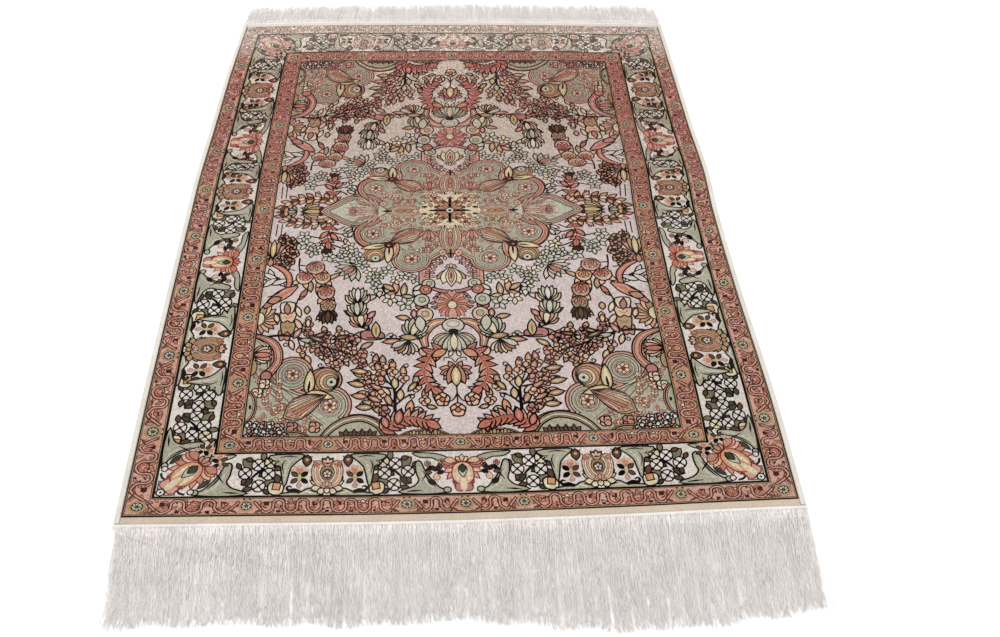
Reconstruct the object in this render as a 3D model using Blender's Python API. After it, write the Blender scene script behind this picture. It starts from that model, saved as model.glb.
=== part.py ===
"""A silk hereke rug lying flat on a surface.

The knotted pile is one flat sheet. Along its long edges lie the overcast side cords, and beyond
its ends come the woven end bands, the corded headings and the two warp fringes. X runs across
the rug, Y runs along it from the front fringe to the back one, and Z is up. Every piece lies
flat on Z = 0, and the middle of the rug's box is on the Z axis.
"""

import math
from collections import namedtuple

import bpy

COLLECTION_NAME = "hereke_rug"

# Driving dimensions, in metres.
PILE_WIDTH = 0.93
PILE_LENGTH = 1.22
PILE_THICKNESS = 0.003
SIDE_CORD_WIDTH = 0.008
SIDE_CORD_THICKNESS = 0.003
END_BAND_WIDTH = 0.009
END_BAND_THICKNESS = 0.0018
HEADING_WIDTH = 0.006
HEADING_THICKNESS = 0.0022
FRINGE_ROOT_WIDTH = 0.006
FRINGE_THICKNESS = 0.0015
GAP = 0.0003

# The fringe comb: how many teeth it has, and how each tooth narrows, wanders and varies.
TOOTH_COUNT = 62
TOOTH_ROOT_SHARE = 0.84
TOOTH_MIDDLE_SHARE = 0.90
TOOTH_TIP_SHARE = 0.62
TOOTH_LEAN = 0.0016
TOOTH_UNEVENNESS = 0.0025
FRINGE_DRAW_IN = 0.022

# Points along each edge of an outline.
SIDE_POINTS = 26
END_POINTS = 20

# How far each long edge of the pile bows out from the straight rectangle, in metres, at
# stations along the rug from the front edge (0) to the back edge (1).
SideBow = namedtuple("SideBow", "station left right")
SIDE_BOWS = (
    SideBow(0.00, 0.004, 0.003),
    SideBow(0.15, 0.009, 0.006),
    SideBow(0.33, 0.013, 0.002),
    SideBow(0.50, 0.016, 0.003),
    SideBow(0.58, 0.017, 0.008),
    SideBow(0.70, 0.013, 0.004),
    SideBow(0.85, 0.009, 0.003),
    SideBow(1.00, 0.000, 0.001),
)

# How far each end of the pile bows out, and how long the fringe beyond it is, in metres, at
# stations across the rug from the left edge (0) to the right edge (1).
EndShape = namedtuple("EndShape", "station front_bow back_bow front_fringe back_fringe")
END_SHAPES = (
    EndShape(0.00, 0.001, -0.002, 0.139, 0.060),
    EndShape(0.18, 0.004, 0.006, 0.137, 0.063),
    EndShape(0.35, 0.007, 0.008, 0.141, 0.065),
    EndShape(0.50, 0.008, 0.009, 0.138, 0.070),
    EndShape(0.62, 0.007, 0.009, 0.152, 0.070),
    EndShape(0.76, 0.005, 0.008, 0.161, 0.068),
    EndShape(0.88, 0.002, 0.004, 0.156, 0.071),
    EndShape(1.00, 0.000, 0.002, 0.144, 0.069),
)

# Each end's name, and its direction along Y.
ENDS = (("front", -1), ("back", 1))
# Each side's name, and its direction along X.
SIDES = (("left", -1), ("right", 1))

# Each material's colour, roughness and metallic value.
MATERIALS = {
    "silk_pile": ((0.60, 0.44, 0.38), 0.55, 0.0),
    "side_cord_yarn": ((0.74, 0.71, 0.62), 0.80, 0.0),
    "end_band_weave": ((0.80, 0.70, 0.47), 0.85, 0.0),
    "heading_cord": ((0.83, 0.82, 0.79), 0.85, 0.0),
    "fringe_warps": ((0.76, 0.72, 0.70), 0.75, 0.0),
}


def clear_scene():
    for old in list(bpy.data.objects):
        bpy.data.objects.remove(old, do_unlink=True)


def smooth_value(table, column, station):
    """The column's value at a station: a smooth curve through the table's rows."""
    rows = [(row.station, getattr(row, column)) for row in table]
    station = min(max(station, rows[0][0]), rows[-1][0])
    index = 0
    while index < len(rows) - 2 and station > rows[index + 1][0]:
        index += 1

    def slope(at):
        before = rows[max(at - 1, 0)]
        after = rows[min(at + 1, len(rows) - 1)]
        return (after[1] - before[1]) / (after[0] - before[0])

    (start, value), (end, next_value) = rows[index], rows[index + 1]
    span = end - start
    u = (station - start) / span
    return (
        value * (1 + 2 * u) * (1 - u) ** 2
        + slope(index) * span * u * (1 - u) ** 2
        + next_value * u**2 * (3 - 2 * u)
        + slope(index + 1) * span * u**2 * (u - 1)
    )


def corner(side, end):
    """The pile's corner on this side and end."""
    along = 0.0 if end < 0 else 1.0
    across = 0.0 if side < 0 else 1.0
    side_bow = smooth_value(SIDE_BOWS, "left" if side < 0 else "right", along)
    end_bow = smooth_value(END_SHAPES, "front_bow" if end < 0 else "back_bow", across)
    return side * (PILE_WIDTH / 2 + side_bow), end * (PILE_LENGTH / 2 + end_bow)


def side_edge(side, offset):
    """The pile's long edge moved outwards by offset, from the front corner to the back one."""
    column = "left" if side < 0 else "right"
    front_y = corner(side, -1)[1]
    back_y = corner(side, 1)[1]
    points = []
    for index in range(SIDE_POINTS + 1):
        along = index / SIDE_POINTS
        bow = smooth_value(SIDE_BOWS, column, along)
        x = side * (PILE_WIDTH / 2 + bow + offset)
        points.append((x, front_y + (back_y - front_y) * along))
    return points


def end_y(end, x, offset):
    """The place along Y of the pile's end edge at x, moved outwards by offset."""
    left_x = corner(-1, end)[0]
    right_x = corner(1, end)[0]
    column = "front_bow" if end < 0 else "back_bow"
    bow = smooth_value(END_SHAPES, column, (x - left_x) / (right_x - left_x))
    return end * (PILE_LENGTH / 2 + bow + offset)


def end_edge(end, offset, overhang):
    """The pile's end edge moved outwards, and run past both corners, from left to right."""
    first_x = corner(-1, end)[0] - overhang
    last_x = corner(1, end)[0] + overhang
    points = []
    for index in range(END_POINTS + 1):
        x = first_x + (last_x - first_x) * index / END_POINTS
        points.append((x, end_y(end, x, offset)))
    return points


def pile_outline():
    front = end_edge(-1, 0.0, 0.0)
    right = side_edge(1, 0.0)
    back = end_edge(1, 0.0, 0.0)
    left = side_edge(-1, 0.0)
    return front[:-1] + right[:-1] + back[:0:-1] + left[:0:-1]


def side_cord_outline(side):
    """A strip along the pile's long edge, which also passes the ends of both end bands."""
    reach = GAP + END_BAND_WIDTH
    edges = []
    for offset in (GAP, GAP + SIDE_CORD_WIDTH):
        edge = side_edge(side, offset)
        first = (edge[0][0], edge[0][1] - reach)
        last = (edge[-1][0], edge[-1][1] + reach)
        edges.append([first] + edge + [last])
    return edges[0] + edges[1][::-1]


def end_strip_outline(end, inner_offset, outer_offset, overhang):
    """A strip beyond the pile's end, between two distances from its edge."""
    inner = end_edge(end, inner_offset, overhang)
    outer = end_edge(end, outer_offset, overhang)
    return inner + outer[::-1]


def fringe_outline(end):
    """A comb: a root strip along the heading, with a row of tapered teeth beyond it."""
    root_offset = GAP + END_BAND_WIDTH + GAP + HEADING_WIDTH + GAP
    overhang = GAP + SIDE_CORD_WIDTH
    root = end_edge(end, root_offset, overhang)
    first_x = root[0][0]
    pitch = (root[-1][0] - first_x) / TOOTH_COUNT
    column = "front_fringe" if end < 0 else "back_fringe"
    points = []
    for index in range(TOOTH_COUNT):
        across = (index + 0.5) / TOOTH_COUNT
        middle_x = first_x + pitch * (index + 0.5)
        root_y = end_y(end, middle_x, root_offset + FRINGE_ROOT_WIDTH)
        length = smooth_value(END_SHAPES, column, across) - FRINGE_ROOT_WIDTH
        length += TOOTH_UNEVENNESS * math.sin(7.3 * index)
        lean = TOOTH_LEAN * math.sin(0.9 * index) - FRINGE_DRAW_IN * (across - 0.5)
        profile = (
            (TOOTH_ROOT_SHARE, 0.0),
            (TOOTH_MIDDLE_SHARE, 0.55),
            (TOOTH_TIP_SHARE, 1.0),
        )
        left = []
        right = []
        for share, reach in profile:
            x = middle_x + lean * reach
            y = root_y + end * length * reach
            left.append((x - share * pitch / 2, y))
            right.append((x + share * pitch / 2, y))
        points += left + right[::-1]
    # The outline runs back along the root from the last tooth to the first.
    first_y = end_y(end, first_x, root_offset + FRINGE_ROOT_WIDTH)
    last_y = end_y(end, root[-1][0], root_offset + FRINGE_ROOT_WIDTH)
    return [(first_x, first_y)] + points + [(root[-1][0], last_y)] + root[::-1]


def make_material(name):
    colour, roughness, metallic = MATERIALS[name]
    material = bpy.data.materials.new(name)
    material.use_nodes = True
    shader = material.node_tree.nodes["Principled BSDF"]
    shader.inputs["Base Color"].default_value = (*colour, 1.0)
    shader.inputs["Roughness"].default_value = roughness
    shader.inputs["Metallic"].default_value = metallic
    material.diffuse_color = (*colour, 1.0)
    return material


def make_sheet(name, outline, thickness, centre, material, collection):
    """A flat piece of this outline, lying on Z = 0."""
    curve = bpy.data.curves.new(name, "CURVE")
    curve.dimensions = "2D"
    curve.fill_mode = "BOTH"
    curve.extrude = thickness / 2
    spline = curve.splines.new("POLY")
    spline.points.add(len(outline) - 1)
    for point, (x, y) in zip(spline.points, outline):
        point.co = (x - centre[0], y - centre[1], 0.0, 1.0)
    spline.use_cyclic_u = True
    sheet = bpy.data.objects.new(name, curve)
    sheet.location = (0.0, 0.0, thickness / 2)
    curve.materials.append(material)
    collection.objects.link(sheet)
    return sheet


def rug_pieces():
    """Each piece's name, outline, thickness and material name."""
    pieces = [("pile", pile_outline(), PILE_THICKNESS, "silk_pile")]
    for name, side in SIDES:
        outline = side_cord_outline(side)
        pieces.append((f"side_cord_{name}", outline, SIDE_CORD_THICKNESS, "side_cord_yarn"))
    band_outer = GAP + END_BAND_WIDTH
    heading_inner = band_outer + GAP
    overhang = GAP + SIDE_CORD_WIDTH
    for name, end in ENDS:
        band = end_strip_outline(end, GAP, band_outer, 0.0)
        heading = end_strip_outline(end, heading_inner, heading_inner + HEADING_WIDTH, overhang)
        pieces.append((f"end_band_{name}", band, END_BAND_THICKNESS, "end_band_weave"))
        pieces.append((f"heading_{name}", heading, HEADING_THICKNESS, "heading_cord"))
        pieces.append((f"fringe_{name}", fringe_outline(end), FRINGE_THICKNESS, "fringe_warps"))
    return pieces


def box_centre(pieces):
    """The middle of the box round all outlines."""
    points = [point for _, outline, _, _ in pieces for point in outline]
    return tuple((min(axis) + max(axis)) / 2 for axis in zip(*points))


def build_rug():
    collection = bpy.data.collections.new(COLLECTION_NAME)
    bpy.context.scene.collection.children.link(collection)
    materials = {name: make_material(name) for name in MATERIALS}
    pieces = rug_pieces()
    centre = box_centre(pieces)
    for name, outline, thickness, material in pieces:
        make_sheet(name, outline, thickness, centre, materials[material], collection)


clear_scene()
build_rug()
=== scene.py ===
"""The looks of the hereke rug: its knotted silk design, cords, end bands, headings and fringes.

The design is drawn in millimetres from the middle of the pile, as closed outlines laid one over
another. Each piece of the pile is then cut into one mesh, whose faces take the dye of the shape
that lies on top. Everything after that is in metres, in the frame of the CAD model.
"""

import math

import bpy
import numpy as np
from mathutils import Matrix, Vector
from mathutils.bvhtree import BVHTree
from mathutils.geometry import delaunay_2d_cdt


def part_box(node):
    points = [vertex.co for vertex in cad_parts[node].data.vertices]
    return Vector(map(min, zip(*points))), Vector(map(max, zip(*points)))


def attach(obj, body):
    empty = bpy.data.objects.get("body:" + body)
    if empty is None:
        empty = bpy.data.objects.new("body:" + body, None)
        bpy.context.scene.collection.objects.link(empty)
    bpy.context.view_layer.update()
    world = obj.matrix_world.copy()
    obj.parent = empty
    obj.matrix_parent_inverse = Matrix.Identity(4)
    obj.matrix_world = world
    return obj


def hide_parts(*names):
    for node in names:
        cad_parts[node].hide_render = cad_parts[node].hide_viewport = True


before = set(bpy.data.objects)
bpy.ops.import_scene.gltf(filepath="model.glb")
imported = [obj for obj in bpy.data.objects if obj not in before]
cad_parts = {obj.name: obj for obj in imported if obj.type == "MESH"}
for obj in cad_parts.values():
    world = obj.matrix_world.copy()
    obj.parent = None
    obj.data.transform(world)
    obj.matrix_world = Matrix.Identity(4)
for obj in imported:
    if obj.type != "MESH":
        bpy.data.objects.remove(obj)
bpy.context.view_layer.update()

MM = 0.001
SEED = 20
BODY = "root"

# ---------------------------------------------------------------- sizes of the design, in mm

PILE_HALF_WIDTH = 465.0
PILE_HALF_LENGTH = 610.0
GUARD = 34.0
BORDER = 72.0
BORDER_OUTER = (PILE_HALF_WIDTH - GUARD, PILE_HALF_LENGTH - GUARD)
BORDER_INNER = (BORDER_OUTER[0] - BORDER, BORDER_OUTER[1] - BORDER)
FIELD_HALF = (BORDER_INNER[0] - GUARD, BORDER_INNER[1] - GUARD)
# Each piece is drawn this far past its own edges, and is then cut to them.
BLEED = 6
LINE = 1.7
# The dark knots round a shape reach further than the line that is drawn for them.
INK_SPREAD = 1.5

# Each dye's colour, as 8-bit sRGB, in the front half and in the back half, where the nap leans
# away. The back half's colours hold painted shade: the redder, duller look that the silk's nap
# takes from how the light falls on it there is painted into them.
DYES_AND_NAP_SHADE = {
    "ink": ((5, 1, 0), (26, 10, 6)),
    "wine": ((112, 44, 38), (128, 48, 42)),
    "maroon": ((52, 24, 18), (80, 36, 28)),
    "lilac": ((200, 185, 181), (178, 160, 148)),
    "ivory": ((209, 199, 191), (196, 180, 168)),
    "blush": ((192, 148, 132), (176, 136, 122)),
    "clay": ((176, 126, 104), (162, 108, 94)),
    "salmon": ((192, 143, 124), (176, 124, 114)),
    "peach": ((208, 170, 144), (184, 146, 124)),
    "coral": ((180, 110, 92), (164, 96, 86)),
    "rose": ((168, 116, 108), (158, 98, 94)),
    "orange": ((196, 142, 106), (168, 116, 86)),
    "sage": ((164, 160, 140), (144, 132, 112)),
    "mist": ((184, 180, 162), (168, 156, 138)),
    "moss": ((114, 108, 84), (106, 94, 66)),
    "tan": ((164, 136, 102), (146, 114, 84)),
    "cream": ((210, 194, 164), (184, 165, 138)),
    "yellow": ((190, 166, 122), (164, 138, 100)),
    "brown": ((88, 62, 46), (96, 58, 44)),
    "pine": ((54, 56, 44), (62, 56, 40)),
}
DYE_NAMES = list(DYES_AND_NAP_SHADE)
# What is covered by this, in place of a dye, is left out of a piece.
CUT = "cut"

# ---------------------------------------------------------------- outlines


def oval(across, along=None, points=14):
    """An oval of these half sizes, or a circle where only one is given."""
    angle = np.linspace(0, 2 * math.pi, points, endpoint=False)
    return np.stack([across * np.cos(angle), (along or across) * np.sin(angle)], axis=1)


def block(left, bottom, right, top):
    return np.array([(left, bottom), (right, bottom), (right, top), (left, top)], float)


def petal(length, width, peak=1.0, roundness=0.75, bend=0.0, steps=6):
    """A petal or leaf that grows along +Y. A higher peak puts its widest part nearer the tip."""
    t = np.linspace(0, 1, steps + 1)
    half = width / 2 * np.sin(math.pi * t**peak).clip(0) ** roundness
    middle = bend * t**2
    right = np.stack([middle + half, length * t], axis=1)
    left = np.stack([middle - half, length * t], axis=1)
    return np.concatenate([right, left[-2:0:-1]])


def curve(points, steps=5):
    """A smooth line through the points."""
    points = np.array(points, float)
    ends = np.concatenate([[2 * points[0] - points[1]], points, [2 * points[-1] - points[-2]]])
    line = []
    for a, b, c, d in zip(ends, ends[1:], ends[2:], ends[3:]):
        for t in np.arange(steps) / steps:
            bowed = (2 * a - 5 * b + 4 * c - d) * t**2 + (3 * b - a - 3 * c + d) * t**3
            line.append(b + ((c - a) * t + bowed) / 2)
    return np.array(line + [points[-1]])


def blob(points, steps=4):
    """A smooth closed outline through the points."""
    points = np.array(points, float)
    count = len(points)
    loop = curve([*points[-2:], *points, *points[:2]], steps)
    return loop[2 * steps : (2 + count) * steps]


def two_sided(first_y, side, last_y):
    """Points along the right side, and their mirror images on the left, between two on the axis."""
    return [(0, first_y), *side, (0, last_y)] + [(-x, y) for x, y in side[::-1]]


def directions(path):
    steps = np.gradient(path, axis=0)
    return steps / np.linalg.norm(steps, axis=1, keepdims=True)


def ribbon(path, *widths):
    """A band along the path, whose width runs evenly through the given widths."""
    path = np.array(path, float)
    along = np.linspace(0, 1, len(path))
    width = np.interp(along, np.linspace(0, 1, len(widths)), widths)
    way = directions(path)
    side = np.stack([way[:, 1], -way[:, 0]], axis=1) * width[:, None] / 2
    return np.concatenate([path + side, (path - side)[::-1]])


def outward(points):
    """The same outline, counterclockwise, starting at its leftmost point."""
    points = np.roll(points, -int(np.argmin(points[:, 0])), axis=0)
    ahead, behind = points[1] - points[0], points[-1] - points[0]
    if ahead[0] * behind[1] - ahead[1] * behind[0] < 0:
        points = np.concatenate([points[:1], points[:0:-1]])
    return points


def grown(points, by):
    """The outline moved outwards on all sides, with its sharpest corners held back."""
    points = outward(points)
    edges = np.roll(points, -1, axis=0) - points
    normals = np.stack([edges[:, 1], -edges[:, 0]], axis=1)
    normals /= np.linalg.norm(normals, axis=1, keepdims=True) + 1e-9
    before = np.roll(normals, 1, axis=0)
    spread = 1 + (normals * before).sum(axis=1, keepdims=True)
    return points + by * (normals + before) / spread.clip(0.45)


# ---------------------------------------------------------------- drawing with them

# A motif is a list of shapes, and each one lies over those before it.


def part(points, dye, line=LINE, edge="ink"):
    """One shape of a motif: its outline, its dye, and the width and dye of the line round it."""
    return [(points, dye, line * INK_SPREAD, edge)]


def place(motif, at=(0, 0), turn=0.0, size=1.0, flip=False):
    """The motif mirrored if it is to be, then turned in degrees, scaled and moved."""
    angle = math.radians(turn)
    rotate = np.array([(math.cos(angle), math.sin(angle)), (-math.sin(angle), math.cos(angle))])
    mirror = np.array([-1.0 if flip else 1.0, 1.0])
    moved = []
    for points, dye, line, edge in motif:
        moved.append((size * (points * mirror) @ rotate + np.array(at, float), dye, line, edge))
    return moved


def across_y(motif):
    """The motif mirrored from the back to the front."""
    return [(points * np.array([1.0, -1.0]), dye, line, edge) for points, dye, line, edge in motif]


def mirrored(motif):
    """The motif and its mirror image, side by side."""
    return motif + place(motif, flip=True)


def turned(motif, turns):
    """The motif once for each turn about its root."""
    return sum([place(motif, turn=turn) for turn in turns], [])


def leaf(at, turn, length, width, dye, line=LINE, edge="ink", peak=1.0, bend=0.0):
    return place(part(petal(length, width, peak, bend=bend), dye, line, edge), at, turn)


def fan(at, turn, count, spread, length, width, dye, line=LINE, peak=1.0):
    """Petals that share a root, from the outermost pair in to the middle one."""
    turns = sorted(np.linspace(-spread, spread, count), key=abs, reverse=True)
    return place(turned(part(petal(length, width, peak), dye, line), turns), at, turn)


def disc(at, across, along, points, dye, line=LINE, edge="ink"):
    return part(oval(across, along, points) + at, dye, line, edge)


def stroke(points, widths, dye, line=0, edge="ink"):
    """A smooth band through the points."""
    return part(ribbon(curve(points), *widths), dye, line, edge)


def stalk(points, width=2.0, tip=1.2):
    return stroke(points, (width * INK_SPREAD, tip * INK_SPREAD), "ink")


def stalks(lines, width, tip):
    return sum([stalk(points, width, tip) for points in lines], [])


def heading(vector):
    """The turn that points +Y along the vector."""
    return math.degrees(math.atan2(-vector[0], vector[1]))


def stations(path, count, last=1.0):
    """Evenly spread places on a path: each one's share of the way, its point and its heading."""
    steps = np.linalg.norm(np.diff(path, axis=0), axis=1)
    travelled = np.concatenate([[0], np.cumsum(steps)]) / steps.sum()
    ways = directions(path)
    for share in np.linspace(0.0, last, count):
        point = np.array([np.interp(share, travelled, path[:, axis]) for axis in (0, 1)])
        way = [np.interp(share, travelled, ways[:, axis]) for axis in (0, 1)]
        yield share, point, heading(way)


def sown(area, spacing, drawings, seed):
    """Small motifs sown a spacing apart, unevenly, over an area (left, low, right, high)."""
    random = np.random.default_rng(seed)
    motif = []
    for x in np.arange(area[0], area[2], spacing):
        for y in np.arange(area[1], area[3], spacing):
            at = np.array((x, y)) + random.uniform(-0.35, 0.35, 2) * spacing
            motif += place(drawings[random.integers(len(drawings))], at, random.uniform(0, 360))
    return motif


def layered(masses, layers):
    """Overlapping masses drawn as one: each layer is all of them, grown by its width."""
    motif = []
    for width, dye in layers:
        for mass in masses:
            motif += part(grown(mass, width) if width else mass, dye, 0)
    return motif


# ---------------------------------------------------------------- small flowers and leaves


def rosette(radius, petals, dye, eye, eye_share=0.34, width_share=1.15, line=LINE):
    """Petals all round an eye, each a share of the even width for so many."""
    width = width_share * 2 * math.pi * radius / petals * 0.62
    one = part(petal(radius, width, 1.5, 0.6, steps=5), dye, line)
    motif = turned(one, [360 * index / petals for index in range(petals)])
    return motif + part(oval(radius * eye_share, points=8), eye, line * 0.8)


def daisy(radius, petals, dyes, eye):
    """Many narrow petals, in turn long and short and of two dyes, round an eye."""
    motif = []
    for index in range(petals):
        length = radius * (1.0 if index % 2 else 0.88)
        one = part(petal(length, radius * 0.27, 1.5, 0.6, steps=5), dyes[index % 2], 0.8)
        motif += place(one, turn=360 * (index + 0.5) / petals)
    return motif + part(oval(radius * 0.24, points=10), eye, 0.8)


def crossed_circle(dye):
    """A pale blossom of four cells in a dark ring, crossed by two dark lines."""
    cell = blob([(1.4, 1.4), (8.3, 1.7), (6.05, 6.05), (1.7, 8.3)], 2)
    return part(oval(11.0, points=12), "ink", 0) + turned(part(cell, dye, 0), (0, 90, 180, 270))


def quatrefoil(dye="peach", radius=4.0, eye="wine"):
    motif = turned(disc((0, radius), radius, radius, 9, dye, 1.4), (0, 90, 180, 270))
    bar = block(-radius * 0.7, -0.6, radius * 0.7, 0.6)
    return motif + turned(part(bar, eye, 0), (45, 135))


def dotted_ring(dye, radius):
    """Six pale dots on a coloured round, as on the sage grounds."""
    motif = part(oval(radius, points=10), dye, 0.7, "brown")
    motif += part(oval(radius * 0.2, points=5), "brown", 0)
    dot = disc((0, radius * 0.6), radius * 0.24, None, 6, "cream", 0)
    return motif + turned(dot, range(0, 360, 60))


def ringed_rosette(radius):
    """A six-petalled rosette inside a ring of silk, as in the lobes of the medallion."""
    motif = []
    for share, dye, line in ((0.82, "mist", 0.8), (0.68, "blush", 0.7), (0.56, "mist", 0.8)):
        motif += part(oval(radius * share, points=18), dye, line, "maroon")
    motif += rosette(radius * 0.50, 6, "salmon", "brown", 0.26, line=0.8)
    dot = disc((0, radius * 0.34), radius * 0.1, None, 6, "cream", 0)
    return motif + turned(dot, range(0, 360, 60))


def star_flower(dye):
    """Five pointed leaves round a small eye, drawn in strong dark lines."""
    motif = turned(vein_leaf(12.5, 6.4, dye, "ivory", 1.25), range(0, 360, 72))
    return motif + part(oval(1.6, points=6), "ink", 0)


def bell(bud, petals="peach", length=17):
    """A long bud that grows along +Y out of four round petals."""
    motif = leaf((0, 4), 0, length, 8.2, bud, 1.6, peak=0.85)
    motif += leaf((0, 8), 0, length * 0.5, 3, "peach", 0, peak=0.9)
    return motif + quatrefoil(petals)


def tendrils(*rows, size=1.0):
    """Stalks that end in a small ring, each given as its root and its turn."""
    hook = curve([(0, 0), (1, 6), (5, 9), (8, 6), (6, 2), (3, 4)], 4) * size
    motif = []
    for x, y, turn in rows:
        motif += place(part(ribbon(hook, 2.2), "ink", 0), (x, y), turn)
    return motif


def vein_leaf(length, width, dye, vein, line=LINE):
    """A leaf with a slit of another dye in it."""
    motif = part(petal(length, width, 0.95), dye, line)
    return motif + leaf((0, length * 0.12), 0, length * 0.66, width * 0.3, vein, 0, peak=0.95)


def veined(*rows):
    """Leaves with a slit, each given as its root, turn, length, width, dye and slit's dye."""
    motif = []
    for x, y, turn, length, width, dye, vein in rows:
        motif += place(vein_leaf(length, width, dye, vein), (x, y), turn)
    return motif


def open_tulip(length, outer, inner, middle):
    """Pointed petals that open like a crown along +Y, darker outside and paler within."""
    motif = []
    for turn, share, dye in ((58, 0.72, outer), (36, 0.92, inner), (18, 1.0, outer)):
        motif += mirrored(leaf((0, 0), turn, length * share, length * 0.34, dye, 1.6, peak=1.1))
    return motif + part(petal(length * 0.96, length * 0.3), middle, 1.5)


def hooded_flower(radius, hood, heart):
    """A round flower in a pale hood, with nested petals inside and two leaves under it."""
    motif = []
    for side in (-1, 1):
        root = (side * 3, radius * 0.5)
        motif += leaf(root, -side * 38, radius * 1.25, radius * 0.6, "peach", 1.6, peak=0.9)
    motif += part(oval(radius, radius * 1.05), hood)
    motif += disc((0, -2), radius * 0.7, radius * 0.66, 12, "mist", 0.9)
    motif += fan((0, -radius * 0.85), 0, 5, 62, radius * 1.25, radius * 0.46, heart, 0.9, 1.1)
    return motif + leaf((0, -radius * 0.7), 0, radius * 0.8, radius * 0.2, "wine", 0, peak=0.9)


def nested_bud(radius):
    """Rings that open along +Y, each set further that way than the one before."""
    motif = []
    for share, dye in ((1.0, "clay"), (0.82, "tan"), (0.66, "peach"), (0.50, "tan"), (0.36, "mist")):
        middle = (0, radius * (1 - share) * 0.7)
        motif += disc(middle, radius * share, radius * share * 0.95, 16, dye, 0.9)
    return motif + disc((0, radius * 0.45), radius * 0.13, None, 7, "ink", 0)


def cream_leaf(length, width, bend):
    """A long yellow-cream leaf with a dark slit."""
    motif = leaf((0, 0), 0, length, width, "yellow", 1.6, peak=0.8, bend=bend)
    motif += leaf((0, 2), 0, length * 0.86, width * 0.62, "cream", 0, peak=0.8, bend=bend * 0.9)
    root = (bend * 0.05, 3)
    return motif + leaf(root, 0, length * 0.5, width * 0.3, "ink", 0, peak=0.8, bend=bend * 0.3)


def fluted_leaf(length, width, bend):
    """A broad cup-like leaf in stripes of salmon, cream and sage."""
    motif = []
    for share, dye, line in ((1.0, "tan", 1.2), (0.9, "blush", 0.8)):
        shape = petal(length * (0.35 + 0.65 * share), width * share, 1.35, 0.7, bend=bend * share)
        motif += part(shape + (0, length * 0.03), dye, line)
    stripes = (
        (-19, "salmon"), (17, "peach"), (-13, "mist"), (11, "clay"), (-7, "peach"), (5, "rose"), (-1, "tan"),
    )
    for index, (turn, dye) in enumerate(stripes):
        reach = length * (0.74 + 0.03 * index)
        motif += leaf((0, 3), turn, reach, width * 0.15, dye, 0.8, "maroon", 1.2, bend * 0.6)
    return motif


def sprig(length):
    """Paired buds up a fine stem, drawn without strong lines, as on the sage grounds."""
    motif = part(ribbon([(0, 0), (0, length)], 1.2), "brown", 0)
    dyes = ("rose" if length % 4 else "coral", "cream", "salmon")
    for index in range(int(length / 4.4)):
        bud = leaf((0, 0), 46, 6.4, 3.2, dyes[index % 3], 0.8, "brown", 1.1)
        motif += place(mirrored(bud), (0, 2 + 4.4 * index))
    return motif + leaf((0, length - 1), 0, 7, 4, "cream", 0.7, "brown")


def acanthus(points, length, dye, count=8, second="salmon", width=7.0):
    """A thick stem packed on both sides with curling leaves that lean towards its tip."""
    path = curve(points)
    motif = []
    for share, point, turn in stations(path, count, 0.92):
        for side in (-1, 1):
            shape = petal(length, length * 0.5, 0.72, bend=side * length * 0.34)
            blade = part(shape, dye if side > 0 else second, 1.6)
            blade += part(ribbon([(0, 2), (side * length * 0.16, length * 0.8)], 1.6, 0.8), "wine", 0)
            motif += place(blade, point, turn - 34 * side, 1.0 - 0.3 * share)
    tip = heading(path[-1] - path[-4])
    motif += leaf(path[-4], tip, length * 1.2, length * 0.6, dye, 1.6, peak=0.9)
    stem = part(ribbon(path, width, width * 0.8, width * 0.4), dye, 0)
    return motif + stem + part(ribbon(path, 1.6, 0.8), "wine", 0)


# ---------------------------------------------------------------- motifs of the main border


def lotus(body="peach", petals=("coral", "salmon", "peach"), base="rose"):
    """The border's palmette: an urn with a dark eye, under petals that droop from its top."""
    half = []
    drooping = (
        (2, 44, -168, 30, -6), (3, 46, -152, 30, -6), (4, 48, -134, 26, -4),
        (6, 49, -114, 23, -3), (8, 50, -94, 20, 0), (9, 50, -72, 17, 2),
    )
    for index, (x, y, turn, length, bend) in enumerate(drooping):
        half += leaf((x, y), turn, length, 9, petals[index % 3], 1.2, "wine", 1.25, bend)
    half += part(blob([(2, 3), (10, 3), (12, 9), (8, 15), (3, 14)]), base, 1.1, "wine")
    half += part(block(11, 8, 14, 17), "wine", 0)
    motif = mirrored(half) + fan((0, 50), 0, 3, 50, 11, 6, petals[2], 1.0, 1.2)
    urn = [(8, 15), (14, 22), (15, 32), (12, 42), (6, 47)]
    motif += part(blob(two_sided(13, urn, 48)), body, 1.2, "wine")
    motif += mirrored(leaf((8, 16), 0, 26, 7, "cream", 0.4, "salmon", 1.1, -2))
    motif += leaf((0, 1), 0, 28, 9, "cream", 0.6, "salmon", 0.6)
    motif += leaf((0, 25), 0, 20, 12, "mist", 1.0, peak=1.2)
    return motif + leaf((0, 32), 0, 13, 9, "pine", 0.8)


def cupped(width, top, bottom):
    """A round cup's outline with its rim dipped in the middle."""
    middle = (top + bottom) / 2 + 2
    side = [
        (width * 0.46, bottom + 2), (width * 0.82, bottom + 9), (width, middle),
        (width * 0.93, top - 7), (width * 0.62, top),
    ]
    return blob(two_sided(bottom, side, top - 6), 3)


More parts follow.
